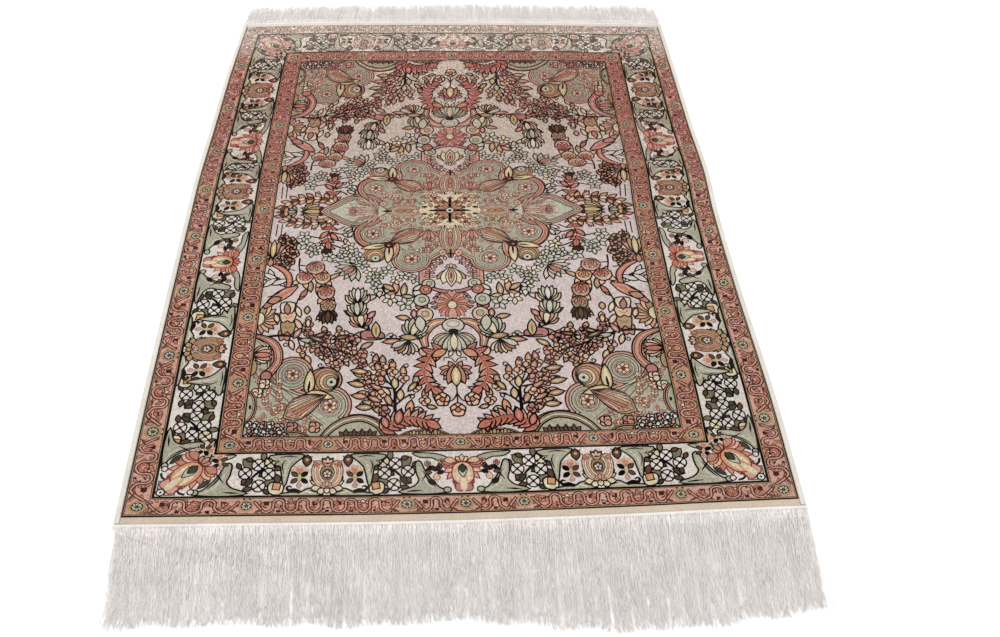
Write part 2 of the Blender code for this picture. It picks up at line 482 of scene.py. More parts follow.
def shield(rim="cream", bands=("peach", "cream", "blush", "cream", "tan"), accent="coral"):
    """The border's other palmette: nested round cups on a scalloped foot, with an eye ring in them."""
    foot = []
    for x, y, turn, length in ((6, 15, -70, 18), (5, 10, -92, 17), (3, 8, -122, 11), (9, 20, -60, 15)):
        foot += leaf((x, y), turn, length, 8, rim, 1.3, peak=1.3)
    motif = mirrored(foot) + leaf((0, 12), 180, 10, 7, rim, 1.2, peak=1.2)
    motif += fan((0, 50), 0, 3, 40, 12, 6, "brown", 0.9, 1.1)
    motif += fan((0, 52), 0, 3, 60, 8, 4, "peach", 0.5, 1.1)
    for index, dye in enumerate(bands):
        cup_outline = cupped(22 - 3.0 * index, 55 - 2.0 * index, 10 + 2.6 * index)
        motif += part(cup_outline, dye, 0.5 if index else 1.0, "maroon")
    motif += mirrored(part(np.array([(12, 49), (21, 56), (19, 45)], float), accent, 0.6, "maroon"))
    motif += disc((0, 35), 9.6, 10.4, 14, "tan", 0.9, "maroon")
    motif += disc((0, 34), 7.0, 7.8, 12, "brown", 0.6)
    dot = disc((0, 3.6), 1.9, None, 6, "ivory", 0.4)
    motif += place(turned(dot, range(0, 360, 72)), (0, 33))
    return motif + fan((0, 12), 0, 5, 80, 9, 5, "blush", 0.6, 1.2)


def blossom_bunch():
    """Five crossed blossoms that touch, with dark leaves between and round them."""
    motif = stroke([(-13, -16), (-8, -6), (1, 3), (9, 8)], (1.4, 3.4, 4.6, 3.4), "ink")
    for x, y, turn, length, dye in (
        (-9, 9, 44, 21, "moss"), (6, 23, 0, 12, "moss"), (24, 24, -20, 13, "brown"),
        (24, 6, -60, 12, "brown"), (9, -15, -98, 23, "moss"), (-8, -10, 118, 16, "pine"),
        (-27, 9, 30, 9, "brown"), (2, -4, -60, 12, "pine"), (-8, -24, 100, 11, "brown"),
        (26, -2, -160, 14, "brown"), (10, -27, -124, 10, "pine"), (-19, -8, 170, 9, "brown"),
        (-10, 22, 70, 10, "brown"),
    ):
        motif += leaf((x, y), turn, length, length * 0.56, dye, 1.3)
    for index, (x, y) in enumerate(((-19, 1), (-1, 14.5), (17.5, 18.5), (15, -1), (2, -20))):
        blossom = crossed_circle("cream" if index == 2 else "ivory")
        motif += place(blossom, (x, y), 42 + 8 * math.sin(3 * index))
    return motif


def cup():
    """A pale tulip with an orange square in its mouth, its foot at (0, 0)."""
    rim = blob([(-9, 4), (-10, 17), (-4, 13), (2, 19), (10, 15), (9, 5), (4, 1), (-4, 0)], 3)
    jewel = part(block(-4.6, -4.6, 4.6, 4.6), "orange", 1.2)
    return part(rim, "cream") + place(jewel, (-1, 13), 8)


def leaf_cross():
    """Four dark leaves round a yellow bud, under a peach blossom."""
    motif = fan((0, 6), 0, 5, 66, 14, 8, "peach", 0.25, 1.3)
    motif += fan((0, 7), 0, 3, 30, 9, 5, "clay", 0, 1.1)
    for turn in (52, -52, 126, -126):
        dark_leaf = leaf((0, 4), 0, 10, 5.4, "ink" if turn > 0 else "brown", 1.0)
        motif += place(dark_leaf, (0, -1), turn)
    motif += leaf((0, -8), 0, 14, 5.6, "yellow", 0.4)
    return motif + leaf((0, -9), 180, 9, 7, "blush", 0.4, peak=1.2)


def dark_sprig():
    """The dark leaves and maroon flower beside a lotus, measured from its root."""
    motif = []
    for x, y, turn, length, dye in (
        (51, 34, 8, 9, "ink"), (45, 35, -78, 9, "brown"), (36, 35, 78, 9, "ink"),
        (32, 41, -6, 10, "pine"), (38, 38, 24, 9, "maroon"), (40, 38, -22, 9, "maroon"),
        (40, 17, -62, 12, "ink"), (46, 40, -20, 8, "ink"),
    ):
        motif += leaf((x, y), turn, length, length * 0.62, dye, 0.8)
    motif += leaf((38, 23), 0, 11, 9, "peach", 0.7, peak=0.8)
    motif += place(rosette(4.4, 6, "blush", "coral", line=0.7), (50, 50))
    return motif + place(rosette(4.0, 5, "peach", "wine", line=0.6), (30, 54))


def slits(lines, width, middle_width):
    """Dark slits in a leaf, pointed at both ends."""
    return sum([stroke(points, (width, middle_width, width), "ink") for points in lines], [])


def arching_leaves():
    """The sage leaves beside a lotus: one rises and bends away, and one lies on the inner edge."""
    rising = [
        (22, 5), (34, 9), (45, 21), (55, 37), (61, 53), (67, 51),
        (66, 35), (63, 23), (72, 12), (92, 5), (70, 2), (44, 2),
    ]
    upper = [(23, 60), (38, 66), (60, 68), (70, 68), (60, 62), (44, 61), (33, 56)]
    motif = part(blob(rising, 3), "sage") + part(blob(upper, 3), "sage", 1.4)
    motif += stroke([(34, 5), (48, 14), (58, 30), (64, 46)], (1, 3, 2.4, 1), "mist")
    motif += slits((
        [(60, 22), (53, 32), (46, 41)], [(40, 12), (50, 24), (57, 38)], [(60, 7), (72, 6), (82, 5)],
    ), 1.0, 3.0)
    return motif + disc((24, 7), 4.4, 3.4, 9, "sage", 1.4)


def horn_leaves():
    """The sage leaves beside a shield: one hangs split from the inner edge, one lies on the outer."""
    horn = [
        (36, 67), (56, 68), (84, 66), (78, 59), (70, 58), (76, 52),
        (68, 49), (65, 34), (61, 17), (57, 34), (54, 47), (46, 57),
    ]
    low = [(7, 3), (16, 10), (27, 11), (38, 5), (52, 5), (66, 2), (36, 1)]
    hook = [(38, 6), (46, 10), (54, 9), (57, 13), (54, 16), (50, 14)]
    motif = part(blob(horn, 3), "sage") + part(blob(low, 3), "sage")
    motif += stroke(hook, (6.0, 4.4, 2.0), "ink")
    motif += slits((
        [(62, 60), (66, 50), (63, 36)], [(44, 64), (56, 66), (70, 64)], [(12, 5), (22, 8), (32, 5)],
    ), 0.8, 2.4)
    motif += stroke([(50, 62), (58, 52), (61, 36), (61, 24)], (1, 3.4, 2.4, 0.8), "mist")
    motif += stroke([(20, 5), (28, 7), (36, 4)], (3, 2.4, 1), "cream")
    motif += leaf((30, 50), 0, 17, 11, "brown", 1.5, peak=1.1)
    motif += disc((30, 60), 2.6, 3, 7, "orange", 0)
    return motif + stroke([(22, 66), (28, 63), (35, 66)], (1.6,), "ink")


# ---------------------------------------------------------------- the medallion and the spandrels

# The scroll edges of the sage grounds, from the outside in, and the echo lines inside their lobes:
# how far each one reaches past the ground's outline, and its dye.
SCROLL_LAYERS = (
    (9.6, "maroon"), (7.2, "salmon"), (4.8, "rose"), (3.8, "maroon"), (2.2, "mist"), (0.2, "maroon"),
    (-1.3, "sage"),
)
ECHO_LAYERS = ((-4.6, "moss"), (-5.8, "mist"), (-8.0, "moss"), (-9.2, "sage"))
GROUND_SPRAYS = (
    part(petal(10, 4.2), "rose", 0.6, "brown"), part(petal(9, 4.0), "blush", 0.6, "brown"),
    part(petal(9, 3.6), "mist", 0.5, "moss"), part(oval(2.6, points=6), "salmon", 0.6, "brown"),
    part(petal(11, 3.0, bend=3), "moss", 0), part(petal(8, 4.0), "salmon", 0.6, "brown"),
)


def scrolled_ground(masses, lobes):
    """A sage ground with a scroll edge, and with echo lines inside its round lobes."""
    rounds = [oval(r, r, 22) + (x, y) for x, y, r in lobes]
    return layered(masses + rounds, SCROLL_LAYERS) + layered(rounds, ECHO_LAYERS)


def ringed_lobes(lobes):
    motif = []
    for x, y, r in lobes:
        motif += place(ringed_rosette(r * 0.84), (x, y))
    return motif


def sprigs(*rows):
    """Sprigs, each given as its root, its turn and its length."""
    motif = []
    for x, y, turn, length in rows:
        motif += place(sprig(length), (x, y), turn)
    return motif


def medallion_ground():
    """The medallion's sage grounds, with their small sprays and ringed rosettes."""
    lobes = ((68, 124, 27), (138, 64, 27))
    side_lobe = blob([
        (108, 0), (124, 18), (144, 33), (170, 37), (194, 27), (212, 12), (228, 0), (212, -12),
        (194, -27), (170, -37), (144, -33), (124, -18),
    ], 3)
    body = blob([
        (0, 102), (22, 110), (44, 122), (76, 108), (100, 88), (126, 72), (136, 40), (140, 0), (136, -40),
        (126, -72), (100, -88), (76, -108), (0, -102), (-40, -100), (-60, 0), (-40, 100),
    ])
    motif = scrolled_ground([body, side_lobe], lobes)
    motif += sown((14, 50, 112, 112), 12, GROUND_SPRAYS, SEED)
    motif += sown((58, 10, 132, 52), 11, GROUND_SPRAYS, SEED + 1)
    return motif + ringed_lobes(lobes) + part(side_lobe * (0.88, 0.86) + (19, 0), "mist", 1.2, "maroon")


def medallion_leaves():
    """The silk bands between the medallion's lobes, and the fluted and cream leaves over them."""
    waist = [(120, 20), (132, 30), (146, 39), (162, 44), (178, 43)]
    motif = stroke(waist, (3, 8, 9, 7, 2), "rose", 1.2)
    motif += stroke(waist, (1, 2, 2, 1), "salmon", 0.5, "brown")
    rim = [(116, 88), (138, 93), (158, 84), (167, 62), (158, 42), (142, 26)]
    motif += stroke(rim, (3, 8, 8, 8, 3), "salmon", 1.2)
    motif += stroke(rim, (1, 2.4, 1), "coral", 0.5, "brown")
    motif += place(nested_bud(19), (133, 113), 10)
    motif += place(fluted_leaf(66, 33, 5), (110, 90), 122)
    motif += leaf((101, 122), 172, 36, 13, "salmon", 1.2, bend=3)
    motif += leaf((101, 117), 172, 26, 5, "peach", 0.7, "maroon", bend=2)
    motif += place(cream_leaf(40, 14, 3), (108, 92), 2)
    motif += place(cream_leaf(42, 11, -4), (114, 92), -86)
    return motif + disc((109, 91), 7.2, 6.2, 9, "maroon", 1.0) + disc((109, 92), 2.4, None, 6, "coral", 0)


def medallion():
    """The right back quarter of the lobed medallion, with the whole of the star in its middle."""
    motif = medallion_ground() + medallion_leaves() + place(side_lobe_flower(), (132, 0), -90)
    motif += sprigs(
        (39, 52, 0, 50), (22, 92, -60, 20), (84, 30, -70, 26), (92, 20, -30, 12),
        (60, 26, -90, 22), (30, 104, -90, 26), (116, 34, -20, 16),
    )
    for turn, dye in ((-52, "rose"), (52, "rose"), (-26, "salmon"), (26, "salmon"), (0, "rose")):
        motif += leaf((38, 58), turn, 24, 6, dye, 0.9, "maroon", 1.2)
    for x, y, dye in ((122, 20, "clay"), (14, 110, "rose"), (100, 42, "clay"), (16, 90, "rose")):
        motif += place(dotted_ring(dye, 6.4), (x, y))
    insets = (
        (8.0, "maroon"), (6.4, "salmon"), (3.4, "brown"), (2.2, "blush"), (0.2, "brown"),
        (-1.2, "mist"), (-4, "brown"), (-5, "tan"),
    )
    for at, along, across in (((0, 74), 30, 13), ((82, 0), 12, 25)):
        for inset, dye in insets:
            motif += disc(at, across + inset, along + inset * 0.5, 20, dye, 0)
    for y, length, dye in ((50, 20, "peach"), (62, 20, "clay"), (76, 18, "rose")):
        motif += leaf((0, y), 0, length, 7, dye, 0.8, "maroon")
        motif += leaf((y + 6, 0), -90, length * 0.8, 6, dye, 0.8, "maroon")
    motif += part(ribbon([(0, 102), (0, 120)], 3.6), "ink", 0)
    return motif + leaf((104, 0), -90, 20, 6, "ink", 0) + star_of_the_middle()


def side_lobe_flower():
    """The pale flower that fills a side lobe of the medallion, growing outwards."""
    motif = []
    for turn, length, dye in (
        (78, 34, "sage"), (64, 42, "blush"), (50, 50, "sage"),
        (36, 56, "rose"), (22, 60, "mist"), (10, 62, "blush"),
    ):
        blade = part(petal(length, 7.4, 0.9), dye, 0.8, "brown") + part(petal(length * 0.7, 1.6), "moss", 0)
        motif += mirrored(place(blade, turn=turn))
    for turn, length, dye in ((48, 24, "salmon"), (30, 30, "mist"), (14, 34, "mist"), (0, 38, "salmon")):
        motif += mirrored(leaf((0, 0), turn, length, 6, dye, 0.8, "brown"))
    return motif + fan((0, 40), 0, 5, 60, 13, 5, "rose", 0.7)


def star_of_the_middle():
    """The cream square with leafy corners, and the dark-spiked rosette at the very centre."""
    square = [block(-49, -49, 49, 49), oval(57, 24, 16), oval(22, 55, 16)]
    motif = layered(square, ((1.0, "brown"), (0.0, "cream")))
    dyes = ("coral", "moss", "ivory", "rose", "tan", "peach")
    small_leaves = [part(petal(9, 4.6, 1.1), dye, 0.7, "maroon") for dye in dyes]
    motif += sown((8, 8, 50, 50), 9, small_leaves, SEED + 2)
    for x, y, turn in ((24, 30, -38), (32, 22, -52), (40, 9, -80), (9, 42, -10)):
        motif += leaf((x, y), turn, 10, 3.6, "ink", 0)
    for x, y, dye in ((41, 40, "rose"), (29, 42, "coral"), (42, 28, "tan")):
        motif += place(dotted_ring(dye, 5.4), (x, y))
    for count, radius, width, dye, start in (
        (4, 33, 9, "coral", 45), (8, 30, 8, "brown", 22.5), (8, 31, 8.6, "orange", 0),
        (8, 25, 7, "clay", 22.5), (8, 20, 5, "tan", 0), (4, 40, 3.6, "ink", 0),
    ):
        turns = [start + 360 * index / count for index in range(count)]
        motif += turned(part(petal(radius, width, 1.2), dye, 0.6), turns)
    return motif + part(oval(6.6, points=12), "ivory", 1.0) + part(oval(3.4, points=10), "ink", 0)


def spandrel_ground(lobes):
    """The spandrel's sage ground with its scroll edge, small sprays and brown echo lines."""
    bulk = curve([
        (334, 290), (308, 306), (298, 330), (300, 352), (286, 380), (250, 400), (214, 412),
        (192, 436), (150, 452), (112, 478),
    ], 3)
    bulk = np.concatenate([bulk, [(112, 484), (334, 484)]])
    toe = blob([(108, 474), (124, 452), (150, 444), (178, 450), (196, 470), (150, 484)])
    motif = disc((206, 376), 26, 22, 20, "clay", 1.8) + scrolled_ground([bulk, toe], lobes)
    motif += sown((224, 424, 320, 470), 10.5, GROUND_SPRAYS, SEED + 2)
    motif += sown((296, 360, 322, 400), 10, GROUND_SPRAYS, SEED + 3)
    for inset in (0, 7, 14):
        echo = [
            (322 - inset, 300 + inset), (300 - inset * 0.4, 330 + inset), (292 + inset * 0.2, 376 + inset),
            (262 + inset, 398 + inset), (236 + inset, 424 + inset), (200 + inset, 452),
        ]
        motif += stroke(echo, (0.8, 1.5, 0.8), "brown")
    return motif


def spandrel_scrolls():
    """The two silk bands on the spandrel's edge: by the field's long edge, and by its end."""
    scroll = [(326, 290), (302, 300), (288, 316), (284, 338), (290, 354), (300, 366)]
    motif = stroke(scroll, (5, 11, 12, 11, 13), "clay", 1.7)
    motif += stroke(scroll, (1.6, 5, 6, 5, 4), "salmon", 0.7, "maroon")
    motif += disc((301, 368), 8, 8, 12, "rose", 1.6)
    foot = [(112, 468), (124, 452), (146, 442), (172, 446), (192, 458), (206, 474)]
    motif += stroke(foot, (6, 8, 8, 8, 6), "tan", 1.7)
    return motif + stroke(foot, (2, 3, 3, 3, 2), "mist", 0.7, "maroon")


def spandrel():
    """The sage corner with its scroll edge, ringed rosettes, fluted leaf and small sprigs."""
    lobes = ((258, 365, 24), (196, 420, 25))
    motif = spandrel_ground(lobes) + sprigs(
        (300, 404, 160, 20), (282, 400, 170, 22), (226, 446, 60, 18), (250, 436, -60, 22),
        (268, 446, -30, 22), (296, 420, 190, 18), (238, 456, -90, 18), (286, 436, 140, 20),
        (262, 420, -80, 18), (276, 414, 180, 16), (228, 460, -90, 16), (308, 388, 180, 18),
    )
    motif += ringed_lobes(lobes) + place(nested_bud(22), (205, 376), 70)
    motif += place(cream_leaf(42, 15, -4), (232, 400), 172)
    motif += place(cream_leaf(42, 14, 4), (234, 400), 86)
    motif += place(fluted_leaf(72, 36, -8), (202, 402), -66) + spandrel_scrolls()
    for x, y, dye in (
        (302, 382, "cream"), (218, 456, "salmon"), (272, 458, "blush"),
        (312, 398, "cream"), (252, 456, "rose"),
    ):
        motif += place(quatrefoil(dye, 4.4, "orange"), (x, y), 45)
    motif += place(open_tulip(28, "salmon", "cream", "coral"), (324, 328), 90)
    motif += disc((326, 352), 8, 14, 12, "tan", 1.3)
    for inset, dye in ((0, "clay"), (2.4, "maroon"), (3.6, "peach"), (6, "sage")):
        for at, across, along in (((326, 422), 16, 27), ((250, 475), 26, 13), ((52, 475), 38, 13)):
            motif += disc(at, across - inset, along - inset, 16, dye, 0.9)
    motif += disc((320, 422), 2.4, 4, 7, "ink", 0)
    for x in (36, 52, 68):
        motif += fan((x, 472), 180, 3, 46, 9, 4.6, "tan", 1.0)
    for x in (134, 146, 158, 170):
        motif += fan((x, 474), 180, 3, 44, 13, 5.4, "brown", 1.2)
    return motif + spandrel_blossoms()


def spandrel_blossoms():
    """Rows of small blossoms, each on three dark leaves, in the spandrel's corner."""
    motif = []
    for row, y in enumerate((471, 461, 452)):
        for column in range(6 - row):
            at = (318 - 11 * column - 4 * (row % 2), y)
            dye = ("ivory", "salmon", "ivory")[(column + row) % 3]
            motif += fan(at, 180, 3, 60, 8, 4.4, "ink", 0)
            motif += place(quatrefoil(dye, 2.8, "ink"), at, 20 * column)
    return motif


# ---------------------------------------------------------------- along the field's long axis


def vase_of_the_axis():
    """The cream tulip under the medallion, the coral daisy, and the round flowers beside them."""
    drop = [(20, 122), (34, 144), (37, 172), (24, 198)]
    motif = part(blob(two_sided(102, drop, 206)), "lilac", 1.8)
    motif += part(block(38, 148, 54, 188), "salmon", 1.5)
    motif += part(block(44, 148, 48, 188), "blush", 0.6, "brown")
    spray = curve([(3, 112), (20, 126), (33, 146), (37, 168)])
    for index, (_, point, turn) in enumerate(stations(spray, 8)):
        for side in (-1, 1):
            motif += leaf(point, turn - 62 * side, 9, 4.4, ("rose", "blush")[index % 2], 1.0, peak=1.1)
    motif += tendrils((18, 140, 200), size=0.7) + tendrils((27, 172, 160), size=0.6)
    motif += mirrored(leaf((3, 150), -30, 34, 12, "tan", 1.3, peak=1.3, bend=4))
    motif += mirrored(leaf((2, 147), -17, 42, 15, "cream", 1.3, peak=1.2))
    motif += leaf((0, 147), 0, 46, 17, "cream", 1.3, peak=1.2)
    motif += part(petal(34, 9, 1.3, 0.6) + (0, 152), "blush", 1.0)
    motif += leaf((0, 156), 0, 24, 4, "wine", 0, peak=1.3)
    motif += fan((0, 148), 180, 5, 80, 10, 5, "peach", 1.1, 1.1)
    motif += stroke([(0, 206), (18, 203), (38, 195)], (5, 4), "rose", 1.4)
    for x, y, across, along, dye, eye in (
        (51, 232, 9, 8, "coral", "salmon"), (51, 221, 12, 11, "mist", "sage"),
        (39, 188, 10, 9, "mist", "sage"), (44, 200, 9, 8, "coral", "salmon"),
        (46, 250, 13, 13, "peach", "sage"),
    ):
        motif += disc((x, y), across, along, 12, dye, 1.6)
        motif += disc((x - 1, y - 1), across * 0.45, along * 0.45, 8, eye, 0.8)
    motif += place(daisy(30, 22, ("coral", "salmon"), "cream"), (0, 231))
    for x, y, turn in ((24, 214, -60), (28, 226, -80), (26, 236, -100), (21, 207, -40)):
        motif += leaf((x, y), turn, 8, 3.4, "rose", 1.2, peak=1.1)
    motif += veined((64, 256, 180, 15, 8, "rose", "cream"), (72, 258, -100, 20, 8, "tan", "peach"))
    return motif + stalk([(68, 258), (62, 268), (66, 280)])


def lantern_of_the_axis():
    """The striped vase under its pale dome, between salmon ribbons, and the fans beside it."""
    collar = [(12, 264), (28, 267), (42, 279), (49, 295), (46, 314)]
    motif = stroke(collar, (8, 12, 13, 12, 8), "clay", 1.6)
    motif += stroke(collar, (2, 5, 6, 5, 2), "peach", 0.6, "brown")
    motif += mirrored(leaf((8, 290), -66, 28, 11, "yellow", 1.4))
    motif += fan((0, 288), 0, 9, 62, 36, 10, "sage", 1.2, 1.3)
    motif += fan((0, 288), 0, 5, 30, 37, 9, "mist", 0.9, 1.3)
    motif += leaf((0, 290), 0, 32, 11, "cream", 0.9, peak=1.1)
    motif += disc((0, 273), 17, 13, 14, "mist", 1.6) + disc((0, 270), 10, 6, 12, "lilac", 0.7, "brown")
    motif += disc((0, 284), 8.6, 4.6, 10, "ink", 0)
    motif += mirrored(leaf((4, 324), -26, 10, 5, "cream", 1.3, peak=1.2))
    motif += stalk([(50, 262), (47, 280), (54, 296), (62, 300)])
    motif += stalk([(58, 298), (90, 298), (142, 296)], 2.4, 1.6)
    motif += place(open_tulip(34, "sage", "mist", "cream"), (68, 292), 158)
    motif += leaf((52, 284), 186, 30, 15, "mist", 1.6, peak=1.1)
    motif += veined((60, 297, -96, 26, 9, "tan", "yellow"), (88, 302, -84, 26, 8, "clay", "peach"))
    motif += tendrils((104, 300, 168), size=1.2) + disc((50, 324), 6, 7.5, 10, "peach", 1.6)
    motif += tendrils((58, 302, 190), size=1.1)
    for index, dye in enumerate(("cream", "mist", "rose", "cream", "tan", "rose", "mist")):
        motif += leaf((76, 302), 39 - 17 * index, 27, 9, dye, 1.6, peak=1.6)
    return motif


def garland_of_the_axis():
    """The coral leaf garland, the palmette that it holds, and the small flowers under it."""
    motif = acanthus([(20, 322), (34, 326), (44, 344), (50, 362), (44, 384), (28, 400)], 19, "coral")
    motif += leaf((14, 322), -62, 24, 12, "orange")
    motif += fan((0, 360), 0, 9, 100, 24, 10, "salmon", 1.5, 1.2)
    motif += fan((0, 362), 0, 5, 150, 20, 8, "clay", 1.4, 1.2)
    motif += mirrored(leaf((5, 352), -14, 32, 9, "clay", 1.5, peak=1.1))
    motif += leaf((0, 354), 0, 34, 14, "yellow", 1.5) + leaf((0, 356), 0, 26, 7, "cream", 0)
    motif += mirrored(stroke([(0, 346), (6, 338), (16, 336), (18, 342)], (1.8,), "ink"))
    motif += part(ribbon([(0, 386), (0, 424)], 2.4), "ink", 0)
    motif += mirrored(stalk([(0, 402), (6, 412), (14, 416)]))
    for at in ((0, 430), (23, 412)):
        motif += place(rosette(11, 5, "peach", "coral", 0.3, 1.25), at, 36)
    return motif


# ---------------------------------------------------------------- the rest of the field's quarter


def flowering_tree():
    """The tree near the end of the field, hung with bells and slit leaves."""
    motif = stalks((
        ((97, 440), (96, 410), (99, 388), (108, 366)), ((96, 402), (84, 388), (78, 376)),
        ((98, 396), (90, 380), (84, 372)), ((100, 388), (110, 376), (116, 360)),
        ((101, 384), (118, 376), (134, 368)), ((100, 392), (120, 388), (138, 384)),
        ((96, 416), (112, 404), (132, 404)), ((96, 424), (110, 420), (124, 422)),
        ((94, 420), (80, 408), (64, 402)), ((108, 368), (110, 356), (102, 350)),
    ), 2.2, 1.6)
    motif += stalk([(95, 448), (96, 424), (96, 400), (100, 384)], 4.4, 2.4)
    for x, y, turn, dye in (
        (50, 414, 176, "orange"), (63, 390, 178, "tan"), (82, 374, 182, "clay"), (99, 362, 180, "orange"),
        (114, 353, 184, "clay"), (128, 350, 172, "rose"), (139, 368, 260, "tan"), (138, 384, 250, "tan"),
        (133, 402, 262, "yellow"), (125, 421, 250, "tan"), (118, 366, 200, "clay"),
    ):
        motif += place(bell(dye, "peach" if turn < 200 else "salmon"), (x, y), turn)
    motif += veined(
        (95, 392, 184, 18, 9, "yellow", "cream"), (88, 412, 176, 17, 9, "yellow", "cream"),
        (102, 420, 206, 20, 8, "clay", "peach"), (140, 362, 262, 24, 8, "tan", "cream"),
        (108, 428, -52, 14, 6, "mist", "ivory"), (76, 436, 166, 22, 10, "orange", "peach"),
        (66, 428, 80, 12, 6, "mist", "ivory"),
    )
    motif += tendrils(
        (106, 346, 170), (84, 354, 160), (66, 370, 150), (76, 404, 110), (150, 386, 250), (140, 418, 320),
    )
    motif += veined(
        (46, 424, 80, 12, 5, "tan", "cream"), (144, 386, 258, 24, 8, "tan", "cream"),
        (140, 406, 262, 22, 8, "clay", "peach"), (132, 424, 268, 22, 8, "tan", "cream"),
        (116, 394, 240, 20, 7, "rose", "peach"), (118, 414, 246, 20, 7, "clay", "peach"),
        (104, 402, 226, 16, 7, "peach", "cream"),
    )
    motif += place(bell("tan", "salmon", 12), (120, 378), 236)
    motif += place(bell("clay", "peach", 12), (118, 402), 262)
    motif += place(bell("tan", "rose", 12), (112, 430), 262)
    return motif + veined((74, 396, 140, 18, 7, "tan", "cream"))


def blossom_branch():
    """The dense branch that leans in from the long edge."""
    bough = [(322, 296), (290, 290), (262, 292), (232, 302), (206, 314), (184, 322), (158, 332)]
    stems = stalk(bough, 3.4, 1.8) + stalks((
        ((262, 292), (246, 280), (240, 262)), ((232, 300), (214, 290), (196, 290), (176, 296)),
        ((206, 312), (196, 328), (186, 340)), ((222, 304), (216, 320), (204, 336)),
        ((256, 294), (252, 306), (248, 318)), ((184, 318), (168, 334), (150, 344)),
    ), 2.0, 1.5)
    flowers = (
        (148, 328, 130), (147, 346, 330), (165, 315, 150), (180, 306, 20), (194, 300, 40), (209, 288, 200),
        (178, 336, 340), (192, 330, 345), (206, 323, 350), (218, 322, 330), (248, 318, 20), (222, 294, 60),
        (160, 300, 170), (190, 316, 80), (172, 326, 100), (208, 306, 60), (232, 300, 320), (238, 286, 190),
        (200, 341, 345), (186, 345, 350), (158, 338, 80), (170, 296, 160), (186, 288, 190), (226, 308, 340),
    )
    motif = list(stems)
    for index, (x, y, turn) in enumerate(flowers):
        dye = ("salmon", "rose", "peach", "blush")[index % 4]
        if index % 3:
            motif += place(bell(("peach", "tan", "clay")[index % 3], dye, 13), (x, y), turn, 0.94)
        else:
            motif += place(vein_leaf(15, 6.4, ("tan", "mist")[index % 2], "cream"), (x, y), turn + 50)
            motif += place(quatrefoil(dye, 4.2), (x, y), turn)
        # The stems pass over the first sixteen flowers, and under the others.
        if index == 15:
            motif += stems
    motif += veined(
        (150, 316, 120, 20, 8, "tan", "cream"), (240, 330, 30, 16, 7, "yellow", "cream"),
        (212, 302, 246, 26, 8, "brown", "sage"), (250, 298, 80, 22, 7, "sage", "mist"),
        (262, 294, 150, 20, 8, "rose", "peach"), (268, 300, 20, 18, 7, "peach", "cream"),
        (192, 296, 100, 20, 6, "brown", "tan"), (226, 292, 110, 18, 6, "brown", "peach"),
    )
    motif += tendrils((136, 324, 90), (172, 308, 170)) + tendrils((224, 306, 300), size=1.2)
    motif += tendrils((268, 306, 330), (208, 350, 300))
    return motif + veined((240, 272, 184, 14, 6, "peach", "cream"))


def bottom_sprays():
    """The coral leaf spray that rises from each end's edge towards the tree."""
    motif = acanthus([(116, 462), (98, 450), (78, 443), (56, 446), (38, 455)], 19, "coral", 9, width=5.0)
    return motif + veined(
        (92, 452, 172, 22, 11, "coral", "salmon"), (108, 458, 200, 18, 9, "coral", "salmon"),
    )


def edge_motifs():
    """What grows from the long edge of the field."""
    motif = []
    for turn in range(-80, 81, 20):
        motif += leaf((322, 256), 90 + turn, 30, 9, ("peach", "salmon", "tan")[turn % 3], 1.5, peak=1.2)
    motif += disc((324, 256), 8, 12, 12, "cream", 1.4)
    for x, y, turn, length, width in (
        (318, 150, 20, 30, 8), (310, 168, 44, 30, 8), (322, 176, 80, 34, 9),
        (310, 186, 110, 28, 8), (328, 160, 60, 30, 8), (324, 190, 130, 26, 8),
    ):
        motif += veined((x, y, turn, length, width, "ivory", "mist"))
    upper = [(312, 138), (296, 148), (284, 164), (280, 180), (282, 198)]
    lower = [(266, 192), (284, 204), (302, 216), (318, 232)]
    motif += stroke(upper, (3, 8, 9, 8, 5), "coral", LINE) + stroke(upper, (1, 3, 3, 1), "salmon")
    motif += stroke(lower, (2, 15, 17, 12, 3), "salmon", 1.8) + stroke(lower, (0.6, 6, 7, 1), "coral")
    motif += leaf((292, 214), -70, 22, 11, "clay", peak=1.1)
    for x, y, across, along, dye in (
        (278, 290, 9, 9, "clay"), (274, 272, 11, 14, "tan"), (276, 252, 12, 10, "peach"),
        (278, 234, 11, 9, "cream"),
    ):
        pot = [
            (-across, -along), (across, -along), (across * 0.7, along), (0, along * 0.6),
            (-across * 0.7, along),
        ]
        fold = stroke([(-across * 0.6, -2), (0, 3), (across * 0.6, -2)], (1.2,), "brown")
        motif += place(part(blob(pot, 3), dye) + fold, (x, y))
    motif += leaf((280, 226), 10, 20, 9, "rose", 1.6, peak=1.1)
    motif += veined(
        (262, 258, 30, 22, 8, "peach", "cream"), (262, 232, 20, 20, 7, "cream", "ivory"),
        (292, 262, 200, 16, 7, "peach", "cream"), (258, 216, 150, 20, 7, "coral", "rose"),
    )
    motif += place(bell("peach", "clay", 12), (240, 268), 182)
    motif += veined((244, 232, 0, 13, 8, "tan", "peach")) + stalk([(264, 228), (260, 214), (250, 210)])
    return motif + tendrils((252, 286, 180)) + stalk([(290, 196), (300, 206), (316, 212)])


